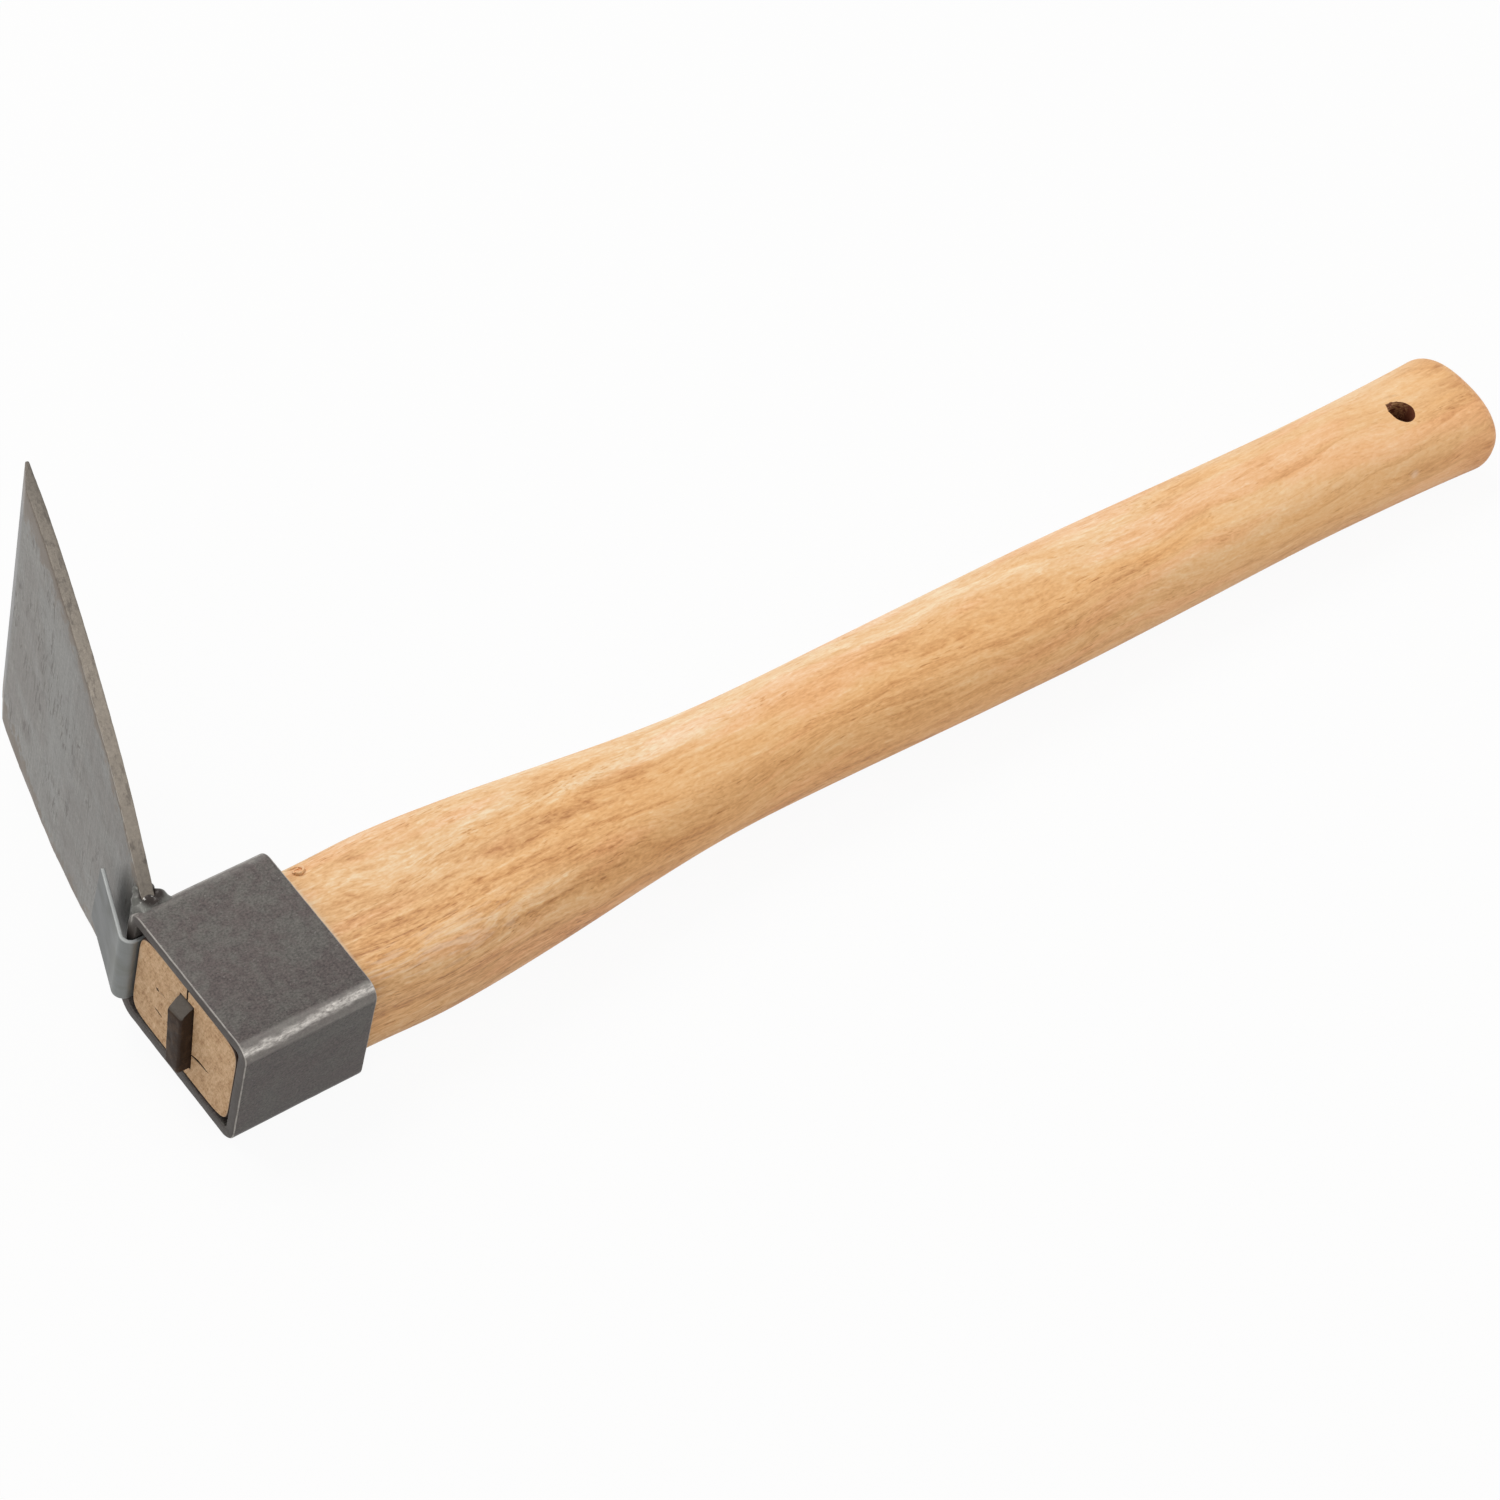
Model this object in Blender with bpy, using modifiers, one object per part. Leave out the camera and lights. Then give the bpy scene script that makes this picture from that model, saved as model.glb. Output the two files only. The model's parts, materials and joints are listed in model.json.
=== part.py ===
"""Short-handled garden hoe with a welded steel head.

The head is a rectangular eye band with a flared blade welded to one wall. The wooden
handle passes through the eye, where a folded steel tongue and a steel wedge lock it.

Everything is modelled in tool axes and in metres: +X runs along the handle, from the
mouth of the eye to the butt, +Y points to the blade's side, and +Z is square to both.
The mouth of the eye is the plane X = 0, and the eye is centred on Y = 0 and Z = 0.
At the end the hoe is laid on the side that it comes to rest on, with Z = 0 as the ground.
"""

import math

import bmesh
import bpy
import numpy as np
from mathutils import Matrix, Vector

MM = 0.001

# Gap left between pieces that touch
FIT = 0.3 * MM

# Eye band, bent from flat bar
BAND_DEPTH = 35.0 * MM
BAND_LENGTH = 46.0 * MM
BAND_HEIGHT = 34.0 * MM
BAND_WALL = 3.0 * MM
BAND_INNER_BEND = 1.0 * MM
BAND_LAST_INNER_BEND = 3.2 * MM
BAND_EDGE_EASE = 0.35 * MM

# Blade, cut from plate and ground on its front face
BLADE_LENGTH = 111.0 * MM
BLADE_EDGE_WIDTH = 82.0 * MM
BLADE_SHOULDER = 7.5 * MM
BLADE_THICKNESS = 3.3 * MM
BLADE_LEAN = math.radians(17.0)
BLADE_SETBACK = 3.4 * MM
BLADE_CORNER = 1.6 * MM
BLADE_EASE = 0.3 * MM
GRIND_LENGTH = 9.5 * MM
EDGE_THICKNESS = 0.7 * MM

# Weld beads between the blade and the band
FRONT_LEG_ON_BLADE = 5.0 * MM
FRONT_BEAD_MARGIN = 0.4 * MM
REAR_LEG_ON_BLADE = 3.8 * MM
REAR_LEG_ON_BAND = 4.5 * MM
BEAD_CROWN = 0.5 * MM
BEAD_HOLLOW = 0.8 * MM
BEAD_RIPPLE = 0.16 * MM
BEAD_PITCH = 2.6 * MM
BEAD_END_INSET = 0.3 * MM
BEAD_END_SIZE = 0.72

# Folded tongue of sheet steel
TONGUE_SHEET = 1.0 * MM
TONGUE_WIDTH = 20.8 * MM
TONGUE_OFFSET = -0.8 * MM
TONGUE_REACH = 26.0 * MM
TONGUE_FOLD_RADIUS = 1.7 * MM
TONGUE_FLAP = 20.0 * MM
TONGUE_END_SKEW = 1.0 * MM
TONGUE_LEAN = math.radians(21.4)

# Wedge, driven into a saw kerf
WEDGE_HEAD = 5.2 * MM
WEDGE_TIP = 1.4 * MM
WEDGE_LENGTH = 27.0 * MM
WEDGE_WIDTH = 20.5 * MM
WEDGE_PROUD = 3.2 * MM
WEDGE_CHAMFER = 2.2 * MM
WEDGE_OFFSET = -0.75 * MM
WEDGE_SKEW = math.radians(-5.5)
WEDGE_EASE = 0.5 * MM
KERF_WIDTH = 1.2 * MM
KERF_DEPTH = 31.0 * MM

# Handle: positions along X, then widths along Y and heights along Z
HANDLE_LENGTH = 400.0 * MM
SHOULDER_STEP = 1.0 * MM
NECK_AT = 60.0 * MM
NECK_WIDTH = 42.0 * MM
NECK_HEIGHT = 30.8 * MM
WAIST_AT = 160.0 * MM
WAIST_WIDTH = 30.4 * MM
WAIST_HEIGHT = 27.2 * MM
BELLY_AT = 252.0 * MM
BELLY_WIDTH = 33.0 * MM
BELLY_HEIGHT = 27.2 * MM
GRIP_AT = 344.0 * MM
GRIP_WIDTH = 30.2 * MM
GRIP_HEIGHT = 27.4 * MM
BUTT_WIDTH = 34.8 * MM
BUTT_HEIGHT = 24.6 * MM
BUTT_ROUND = 6.5 * MM
AXIS_DROP = 1.7 * MM
TENON_RECESS = 0.3 * MM
TENON_EASE = 0.5 * MM

# Hole to hang the hoe by
HOLE_DIAMETER = 7.5 * MM
HOLE_FROM_BUTT = 27.5 * MM
HOLE_OFFSET = -1.2 * MM

# Densities, to find the side that the hoe rests on
STEEL_DENSITY = 7850.0
WOOD_DENSITY = 700.0

# Smoothness
MERGE_DISTANCE = 0.01 * MM
BEND_STEPS = 8
HANDLE_SIDES = 48
HANDLE_STEP = 9.0 * MM
HOLE_SIDES = 28
TENON_SQUARENESS = 8.0
SHOULDER_SQUARENESS = 5.0
GRIP_SQUARENESS = 2.3

# Sizes that follow from the ones above
EYE_LENGTH = BAND_LENGTH - 2 * BAND_WALL
EYE_HEIGHT = BAND_HEIGHT - 2 * BAND_WALL
TONGUE_FACE = EYE_LENGTH / 2 - FIT
TENON_TOP = TONGUE_FACE - TONGUE_SHEET - FIT
TENON_BOTTOM = -EYE_LENGTH / 2 + FIT
TENON_WIDTH = TENON_TOP - TENON_BOTTOM
TENON_HEIGHT = EYE_HEIGHT - 2 * FIT
TENON_CENTRE = (TENON_TOP + TENON_BOTTOM) / 2
BLADE_ROOT_WIDTH = BAND_HEIGHT


def clear_scene():
    """Empty the scene of objects."""
    for old in list(bpy.data.objects):
        bpy.data.objects.remove(old, do_unlink=True)


def new_collection(name):
    """Add a collection to the scene."""
    group = bpy.data.collections.new(name)
    bpy.context.scene.collection.children.link(group)
    return group


def add_material(name, colour, roughness, metallic):
    """Make a plain Principled material."""
    material = bpy.data.materials.new(name)
    material.use_nodes = True
    shader = material.node_tree.nodes["Principled BSDF"]
    shader.inputs["Base Color"].default_value = (*colour, 1.0)
    shader.inputs["Roughness"].default_value = roughness
    shader.inputs["Metallic"].default_value = metallic
    return material


def add_object(name, bm, group, parent, material=None):
    """Turn a bmesh into an object, with its faces pointing out."""
    bmesh.ops.recalc_face_normals(bm, faces=bm.faces[:])
    mesh = bpy.data.meshes.new(name)
    bm.to_mesh(mesh)
    bm.free()
    mesh.shade_smooth()
    mesh.set_sharp_from_angle(angle=math.radians(35))
    thing = bpy.data.objects.new(name, mesh)
    group.objects.link(thing)
    thing.parent = parent
    if material:
        mesh.materials.append(material)
    return thing


def hide_cutter(cutter):
    """Show a cutter as wires only."""
    cutter.hide_render = True
    cutter.display_type = "WIRE"


def cut(thing, cutter):
    """Subtract a cutter from an object."""
    hide_cutter(cutter)
    step = thing.modifiers.new("cut_" + cutter.name, "BOOLEAN")
    step.operation = "DIFFERENCE"
    step.solver = "EXACT"
    step.object = cutter


def ease_edges(thing, width, segments=2):
    """Round the sharp edges of an object a little."""
    step = thing.modifiers.new("eased_edges", "BEVEL")
    step.width = width
    step.segments = segments
    step.limit_method = "ANGLE"
    step.angle_limit = math.radians(40)


def blend(start, end, share):
    """Go from one value to another with no slope at either."""
    share = min(max(share, 0.0), 1.0)
    return start + (end - start) * share * share * (3 - 2 * share)


def box(low, high):
    """A bmesh box between two corners."""
    bm = bmesh.new()
    bmesh.ops.create_cube(bm, size=1.0)
    low, high = Vector(low), Vector(high)
    size = high - low
    bmesh.ops.scale(bm, vec=size, verts=bm.verts)
    bmesh.ops.translate(bm, vec=(low + high) / 2, verts=bm.verts)
    return bm


def loft(rings):
    """Join rings of equal point counts into one closed solid."""
    bm = bmesh.new()
    loops = [[bm.verts.new(point) for point in ring] for ring in rings]
    count = len(rings[0])
    for near, far in zip(loops[:-1], loops[1:]):
        for i in range(count):
            j = (i + 1) % count
            bm.faces.new((near[i], near[j], far[j], far[i]))
    bm.faces.new(loops[0])
    bm.faces.new(loops[-1])
    return bm


def superellipse(x, centre, half_width, half_height, squareness):
    """A ring square to the handle: 2 is an ellipse, larger is more of a rectangle."""
    ring = []
    for i in range(HANDLE_SIDES):
        turn = 2 * math.pi * i / HANDLE_SIDES
        c, s = math.cos(turn), math.sin(turn)
        y = math.copysign(abs(c) ** (2 / squareness), c)
        z = math.copysign(abs(s) ** (2 / squareness), s)
        ring.append(Vector((x, centre + half_width * y, half_height * z)))
    return ring


def rounded_rectangle(length, height, radius, last_radius):
    """Outline in Y and Z, each corner an arc, with a radius of its own for the last one."""
    points = []
    corners = ((1, 1, 0, radius), (-1, 1, 90, radius),
               (-1, -1, 180, radius), (1, -1, 270, last_radius))
    for side_y, side_z, start, radius in corners:
        y = side_y * (length / 2 - radius)
        z = side_z * (height / 2 - radius)
        for i in range(BEND_STEPS + 1):
            turn = math.radians(start + 90 * i / BEND_STEPS)
            points.append((y + radius * math.cos(turn), z + radius * math.sin(turn)))
    return points


def build_eye_band(group, root, steel):
    """Flat bar bent into a rectangular eye: an open sleeve, thickened inwards."""
    bm = bmesh.new()
    outline = rounded_rectangle(BAND_LENGTH, BAND_HEIGHT, BAND_INNER_BEND + BAND_WALL,
                                BAND_LAST_INNER_BEND + BAND_WALL)
    mouth = [bm.verts.new((0.0, y, z)) for y, z in outline]
    back = [bm.verts.new((BAND_DEPTH, y, z)) for y, z in outline]
    for i in range(len(outline)):
        j = (i + 1) % len(outline)
        bm.faces.new((mouth[i], mouth[j], back[j], back[i]))
    band = add_object("eye_band", bm, group, root, steel)
    shell = band.modifiers.new("bar_thickness", "SOLIDIFY")
    shell.thickness = BAND_WALL
    shell.offset = -1.0
    shell.use_even_offset = True
    ease_edges(band, BAND_EDGE_EASE)
    return band


def blade_outline():
    """Half widths from root to edge, mirrored: convex flared sides, small corners."""
    root, tip = BLADE_ROOT_WIDTH / 2, BLADE_EDGE_WIDTH / 2
    below = BLADE_THICKNESS
    side = [(root, -below)]
    steps = 20
    straight = BLADE_LENGTH - BLADE_CORNER
    for i in range(steps + 1):
        share = i / steps * straight / BLADE_LENGTH
        swell = 4 * BLADE_SHOULDER * share * (1 - share)
        side.append((root + (tip - root) * share + swell, share * BLADE_LENGTH))
    corner_x = side[-1][0] - BLADE_CORNER
    for i in range(1, 5):
        turn = math.radians(90 * i / 4)
        side.append((corner_x + BLADE_CORNER * math.cos(turn),
                     straight + BLADE_CORNER * math.sin(turn)))
    return side + [(-x, y) for x, y in reversed(side)]


def build_blade(group, cutters, root, steel):
    """Plate cut to outline, ground to an edge and mitred to sit on the band."""
    curve = bpy.data.curves.new("blade_outline", "CURVE")
    curve.dimensions = "2D"
    curve.fill_mode = "BOTH"
    curve.extrude = BLADE_THICKNESS / 2
    outline = blade_outline()
    spline = curve.splines.new("POLY")
    spline.points.add(len(outline) - 1)
    for point, (x, y) in zip(spline.points, outline):
        point.co = (x, y, 0.0, 1.0)
    spline.use_cyclic_u = True
    sketch = bpy.data.objects.new("blade_outline", curve)
    group.objects.link(sketch)
    plate = bpy.data.meshes.new_from_object(
        sketch.evaluated_get(bpy.context.evaluated_depsgraph_get()))
    bpy.data.objects.remove(sketch, do_unlink=True)
    bm = bmesh.new()
    bm.from_mesh(plate)
    bpy.data.meshes.remove(plate)
    bmesh.ops.remove_doubles(bm, verts=bm.verts, dist=MERGE_DISTANCE)
    # Stand the plate up, with its front face on the local plane X = 0
    bmesh.ops.rotate(bm, verts=bm.verts, matrix=Matrix.Rotation(math.radians(90), 3, "Y"))
    bmesh.ops.translate(bm, vec=(BLADE_THICKNESS / 2, 0, 0), verts=bm.verts)
    blade = add_object("blade", bm, group, root, steel)
    blade.location = (BLADE_SETBACK, BAND_LENGTH / 2, 0.0)
    blade.rotation_euler = (0.0, 0.0, -BLADE_LEAN)

    # The ground face runs from the front face to the edge, which stays at the rear
    reach = BLADE_EDGE_WIDTH + BLADE_SHOULDER
    grind = add_object("blade_grind", box((-reach, -BLADE_LENGTH, -reach),
                                          (0.0, BLADE_LENGTH, reach)), cutters, blade)
    grind.location = (0.0, BLADE_LENGTH - GRIND_LENGTH, 0.0)
    grind_angle = math.atan2(BLADE_THICKNESS - EDGE_THICKNESS, GRIND_LENGTH)
    grind.rotation_euler = (0.0, 0.0, -grind_angle)
    cut(blade, grind)
    seat = add_object("blade_seat", box((-reach, -reach, -reach),
                                        (reach, BAND_LENGTH / 2 + FIT, reach)), cutters, root)
    cut(blade, seat)
    ease_edges(blade, BLADE_EASE, 1)
    return blade


def bead(name, corner, on_band, on_blade, bulge, group, root, steel):
    """A rippled weld bead in the corner between the band and the blade.

    The bead's section is a curved triangle: the corner, and an arc from the toe on
    the band to the toe on the blade. A positive bulge crowns the arc, a negative one
    hollows it.
    """
    half_length = BLADE_ROOT_WIDTH / 2 - BEAD_END_INSET
    stations = max(8, int(2 * half_length / (BEAD_PITCH / 4)))
    corner, on_band, on_blade = Vector(corner), Vector(on_band), Vector(on_blade)
    outward = Vector((on_blade.y - on_band.y, on_band.x - on_blade.x)).normalized()
    if outward.dot(on_band - corner) < 0:
        outward.negate()
    rings = []
    for i in range(stations + 1):
        z = half_length * (2 * i / stations - 1)
        from_end = min(half_length - abs(z), BEAD_PITCH) / BEAD_PITCH
        fullness = math.sqrt(max(0.0, 1 - (1 - from_end) ** 2))
        size = BEAD_END_SIZE + (1 - BEAD_END_SIZE) * fullness
        ripple = BEAD_RIPPLE * math.cos(2 * math.pi * z / BEAD_PITCH)
        ring = [corner]
        steps = 6
        for k in range(steps + 1):
            share = k / steps
            point = on_band.lerp(on_blade, share)
            arch = 4 * share * (1 - share)
            point = point + outward * (bulge + ripple) * arch
            ring.append(corner + (point - corner) * size)
        rings.append([Vector((p.x, p.y, z)) for p in ring])
    return add_object(name, loft(rings), group, root, steel)


def build_welds(group, root, steel):
    """Fillet beads along the front and the rear of the blade's root."""
    wall = BAND_LENGTH / 2 + FIT
    along = Vector((math.sin(BLADE_LEAN), math.cos(BLADE_LEAN)))
    square = Vector((math.cos(BLADE_LEAN), -math.sin(BLADE_LEAN)))
    front_root = Vector((BLADE_SETBACK, BAND_LENGTH / 2)) - square * FIT
    rear_root = Vector((BLADE_SETBACK, BAND_LENGTH / 2)) + square * (BLADE_THICKNESS + FIT)

    def on_wall(point):
        """Slide a point along the blade's face to the bead's seat on the band."""
        return point + along * ((wall - point.y) / along.y)

    front, rear = on_wall(front_root), on_wall(rear_root)
    bead("weld_front", front, (FRONT_BEAD_MARGIN, wall), front + along * FRONT_LEG_ON_BLADE,
         BEAD_CROWN, group, root, steel)
    bead("weld_rear", rear, (rear.x + REAR_LEG_ON_BAND, wall), rear + along * REAR_LEG_ON_BLADE,
         -BEAD_HOLLOW, group, root, steel)


def build_tongue(group, root, steel):
    """Sheet strip between wood and band, folded round the mouth and up the blade."""
    leg_y = TONGUE_FACE - TONGUE_SHEET / 2
    radius = TONGUE_FOLD_RADIUS + TONGUE_SHEET / 2
    centre = Vector((0.0, leg_y + radius))
    path = [Vector((TONGUE_REACH, leg_y)), Vector((TONGUE_REACH / 2, leg_y))]
    steps = 2 * BEND_STEPS
    turn_end = math.radians(90) + TONGUE_LEAN
    for i in range(steps + 1):
        turn = turn_end * i / steps
        path.append(centre + radius * Vector((-math.sin(turn), -math.cos(turn))))
    up = Vector((math.sin(TONGUE_LEAN), math.cos(TONGUE_LEAN)))
    bm = bmesh.new()
    edges = []
    for side in (1, -1):
        z = TONGUE_OFFSET + side * TONGUE_WIDTH / 2
        tip = path[-1] + up * (TONGUE_FLAP - side * TONGUE_END_SKEW)
        edges.append([bm.verts.new((p.x, p.y, z)) for p in path + [tip]])
    near, far = edges
    for i in range(len(path)):
        bm.faces.new((near[i], near[i + 1], far[i + 1], far[i]))
    tongue = add_object("locking_tongue", bm, group, root, steel)
    sheet = tongue.modifiers.new("sheet_thickness", "SOLIDIFY")
    sheet.thickness = TONGUE_SHEET
    sheet.offset = 0.0
    sheet.use_even_offset = True
    return tongue


def wedge_block(grow):
    """The wedge, larger by grow on every side: its head, chamfered on top, and its taper."""
    stations = ((-WEDGE_PROUD, WEDGE_HEAD, WEDGE_CHAMFER),
                (0.0, WEDGE_HEAD, 0.0),
                (WEDGE_LENGTH - WEDGE_PROUD + grow, WEDGE_TIP, 0.0))
    rings = []
    for x, thickness, chamfer in stations:
        half = thickness / 2 + grow
        low, high = -WEDGE_WIDTH / 2 - grow, WEDGE_WIDTH / 2 + grow - chamfer
        corners = ((-half, low), (half, low), (half, high), (-half, high))
        rings.append([Vector((x, y, z)) for y, z in corners])
    return loft(rings)


def place_in_tenon(thing):
    """Put the wedge, or a cut for it, across the end of the tenon."""
    thing.location = (0.0, TENON_CENTRE + WEDGE_OFFSET, 0.0)
    thing.rotation_euler = (WEDGE_SKEW, 0.0, 0.0)


def build_wedge(group, root, steel):
    """Steel wedge, standing proud of the wood."""
    wedge = add_object("wedge", wedge_block(0.0), group, root, steel)
    place_in_tenon(wedge)
    ease_edges(wedge, WEDGE_EASE)
    return wedge


def handle_size(x):
    """Centre, half width, half height and squareness of the handle at a distance X."""
    shoulder = BAND_DEPTH + FIT
    stations = (
        (shoulder, TENON_WIDTH + 2 * SHOULDER_STEP, TENON_HEIGHT + 2 * SHOULDER_STEP),
        (NECK_AT, NECK_WIDTH, NECK_HEIGHT),
        (WAIST_AT, WAIST_WIDTH, WAIST_HEIGHT),
        (BELLY_AT, BELLY_WIDTH, BELLY_HEIGHT),
        (GRIP_AT, GRIP_WIDTH, GRIP_HEIGHT),
    )
    width, height = stations[0][1:]
    for (x0, w0, h0), (x1, w1, h1) in zip(stations[:-1], stations[1:]):
        if x > x0:
            width = blend(w0, w1, (x - x0) / (x1 - x0))
            height = blend(h0, h1, (x - x0) / (x1 - x0))
    if x > GRIP_AT:
        flare = ((x - GRIP_AT) / (HANDLE_LENGTH - GRIP_AT)) ** 2
        width = GRIP_WIDTH + (BUTT_WIDTH - GRIP_WIDTH) * flare
        height = GRIP_HEIGHT + (BUTT_HEIGHT - GRIP_HEIGHT) * flare
    lean = min(max((x - shoulder) / (HANDLE_LENGTH - shoulder), 0.0), 1.0)
    centre = TENON_CENTRE - AXIS_DROP * lean
    if x < shoulder:
        squareness = blend(TENON_SQUARENESS, SHOULDER_SQUARENESS, x / shoulder)
    else:
        left = max(0.0, 1 - (x - shoulder) / (WAIST_AT - shoulder))
        squareness = GRIP_SQUARENESS + (SHOULDER_SQUARENESS - GRIP_SQUARENESS) * left ** 2
    return centre, width / 2, height / 2, squareness


def handle_rings():
    """Rings from the tenon's end, out over the shoulder and on to the rounded butt."""
    rings = []

    def add(x, inset):
        centre, half_width, half_height, squareness = handle_size(x)
        rings.append(superellipse(x, centre, half_width - inset, half_height - inset, squareness))

    shoulder = BAND_DEPTH + FIT
    add(TENON_RECESS, SHOULDER_STEP + TENON_EASE)
    add(TENON_RECESS + TENON_EASE, SHOULDER_STEP)
    add(shoulder, SHOULDER_STEP)
    add(shoulder, 0.0)
    last = HANDLE_LENGTH - BUTT_ROUND
    count = max(8, round((last - shoulder) / HANDLE_STEP))
    for i in range(1, count + 1):
        add(shoulder + (last - shoulder) * i / count, 0.0)
    steps = 6
    for i in range(1, steps + 1):
        turn = math.radians(90 * i / steps)
        add(last + BUTT_ROUND * math.sin(turn), BUTT_ROUND * (1 - math.cos(turn)))
    return rings


def build_handle(group, cutters, root, wood):
    """Shaped wooden handle with its tenon, saw kerf, wedge seat and hanging hole."""
    handle = add_object("handle", loft(handle_rings()), group, root, wood)
    tall = BAND_HEIGHT
    kerf = add_object("saw_kerf", box((-KERF_DEPTH, -KERF_WIDTH / 2, -tall),
                                      (KERF_DEPTH, KERF_WIDTH / 2, tall)), cutters, root)
    place_in_tenon(kerf)
    cut(handle, kerf)
    seat = add_object("wedge_seat", wedge_block(FIT), cutters, root)
    place_in_tenon(seat)
    cut(handle, seat)
    bm = bmesh.new()
    bmesh.ops.create_cone(bm, cap_ends=True, segments=HOLE_SIDES, radius1=HOLE_DIAMETER / 2,
                          radius2=HOLE_DIAMETER / 2, depth=2 * BUTT_HEIGHT)
    drill = add_object("hanging_hole", bm, cutters, root)
    at = HANDLE_LENGTH - HOLE_FROM_BUTT
    drill.location = (at, handle_size(at)[0] + HOLE_OFFSET, 0.0)
    cut(handle, drill)
    return handle


def world_shape(thing):
    """Corners and triangles of an object as the viewport shows it, in world axes."""
    graph = bpy.context.evaluated_depsgraph_get()
    shown = thing.evaluated_get(graph)
    mesh = shown.to_mesh()
    mesh.calc_loop_triangles()
    corners = np.array([thing.matrix_world @ v.co for v in mesh.vertices])
    triangles = np.array([t.vertices[:] for t in mesh.loop_triangles])
    shown.to_mesh_clear()
    return corners, triangles


def mass_centre(parts):
    """Centre of mass of the whole hoe."""
    total, moment = 0.0, np.zeros(3)
    for thing in parts:
        corners, triangles = world_shape(thing)
        a, b, c = (corners[triangles[:, k]] for k in range(3))
        volumes = np.einsum("ij,ij->i", a, np.cross(b, c)) / 6
        density = WOOD_DENSITY if thing.name == "handle" else STEEL_DENSITY
        total += density * volumes.sum()
        moment += density * (volumes[:, None] * (a + b + c) / 4).sum(axis=0)
    return Vector(moment / total)


def resting_normal(parts, centre):
    """Normal of the hull's underside face that holds the centre of mass."""
    bm = bmesh.new()
    for thing in parts:
        for corner in world_shape(thing)[0]:
            bm.verts.new(corner)
    hull = bmesh.ops.convex_hull(bm, input=bm.verts)
    faces = [f for f in hull["geom"] if isinstance(f, bmesh.types.BMFace)]
    best, best_normal = -2.0, Vector((0, 0, -1))
    for face in faces:
        normal = face.normal.copy()
        if normal.dot(face.verts[0].co - centre) < 0:
            normal.negate()
        if normal.z > -0.5:
            continue
        foot = centre + normal * normal.dot(face.verts[0].co - centre)
        corners = [v.co for v in face.verts]
        edges = zip(corners, corners[1:] + corners[:1])
        sides = [(b - a).cross(foot - a).dot(normal) / (b - a).length for a, b in edges]
        inside = max(min(sides), min(-s for s in sides))
        if inside > best:
            best, best_normal = inside, normal
    bm.free()
    return best_normal


def lay_down(parts, root):
    """Turn the hoe onto its resting side, with its box centred over the origin."""
    bpy.context.view_layer.update()
    down = resting_normal(parts, mass_centre(parts))
    turn = down.rotation_difference(Vector((0, 0, -1))).to_matrix()
    along = turn @ Vector((1, 0, 0))
    turn = Matrix.Rotation(-math.atan2(along.y, along.x), 3, "Z") @ turn
    root.matrix_world = turn.to_4x4()
    bpy.context.view_layer.update()
    corners = np.vstack([world_shape(thing)[0] for thing in parts])
    low, high = corners.min(axis=0), corners.max(axis=0)
    middle = (low + high) / 2
    root.matrix_world = Matrix.Translation((-middle[0], -middle[1], -low[2])) @ turn.to_4x4()
    bpy.context.view_layer.update()


def main():
    """Build every piece, then lay the hoe down."""
    clear_scene()
    group = new_collection("garden_hoe")
    cutters = new_collection("cutters")
    root = bpy.data.objects.new("hoe_frame", None)
    group.objects.link(root)

    band_steel = add_material("band_steel", (0.105, 0.095, 0.088), 0.55, 0.85)
    blade_steel = add_material("blade_steel", (0.24, 0.235, 0.22), 0.5, 0.85)
    weld_steel = add_material("weld_steel", (0.14, 0.125, 0.115), 0.4, 0.9)
    tongue_steel = add_material("tongue_steel", (0.23, 0.25, 0.25), 0.42, 0.9)
    wedge_steel = add_material("wedge_steel", (0.055, 0.042, 0.038), 0.6, 0.7)
    wood = add_material("handle_wood", (0.60, 0.37, 0.18), 0.55, 0.0)

    parts = [build_handle(group, cutters, root, wood),
             build_eye_band(group, root, band_steel),
             build_blade(group, cutters, root, blade_steel),
             build_tongue(group, root, tongue_steel),
             build_wedge(group, root, wedge_steel)]
    build_welds(group, root, weld_steel)
    parts += [group.objects["weld_front"], group.objects["weld_rear"]]
    lay_down(parts, root)


main()
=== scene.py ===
"""Looks of a short-handled garden hoe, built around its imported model.

Every piece is modelled in tool axes: +X runs along the handle from the mouth of the eye to
the butt, +Y points to the blade's side and +Z is square to both. ToolFrame finds these axes
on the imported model, so each piece lies where its solid lies. Meshes are in metres, and the
finishes are laid out in millimetres.
"""

from __future__ import annotations

import json
import logging
import math
from dataclasses import dataclass, field
from enum import Enum
from typing import Iterable, Sequence, Union

import bmesh
import bpy
import numpy as np
from mathutils import Matrix, Vector


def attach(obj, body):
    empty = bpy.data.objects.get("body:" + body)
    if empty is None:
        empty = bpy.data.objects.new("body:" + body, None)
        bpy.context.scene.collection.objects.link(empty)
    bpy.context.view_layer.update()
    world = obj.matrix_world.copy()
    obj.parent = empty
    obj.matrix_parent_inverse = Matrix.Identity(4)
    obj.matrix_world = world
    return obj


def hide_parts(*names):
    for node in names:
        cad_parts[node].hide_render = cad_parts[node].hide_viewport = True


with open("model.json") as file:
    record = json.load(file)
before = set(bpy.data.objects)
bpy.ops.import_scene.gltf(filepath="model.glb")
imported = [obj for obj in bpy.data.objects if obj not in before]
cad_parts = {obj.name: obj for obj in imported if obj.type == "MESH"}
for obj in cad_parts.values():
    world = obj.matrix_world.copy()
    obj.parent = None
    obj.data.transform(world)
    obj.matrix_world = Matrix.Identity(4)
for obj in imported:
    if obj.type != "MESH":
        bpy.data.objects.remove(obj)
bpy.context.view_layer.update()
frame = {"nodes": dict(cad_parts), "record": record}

LOG = logging.getLogger("garden_hoe")
MM = 0.001
BODY = "root"
SHARP = 40.0
PLAIN = (1.0, 1.0, 1.0)
SEED_WAY = (1.0, 1.7, 2.3)

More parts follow.
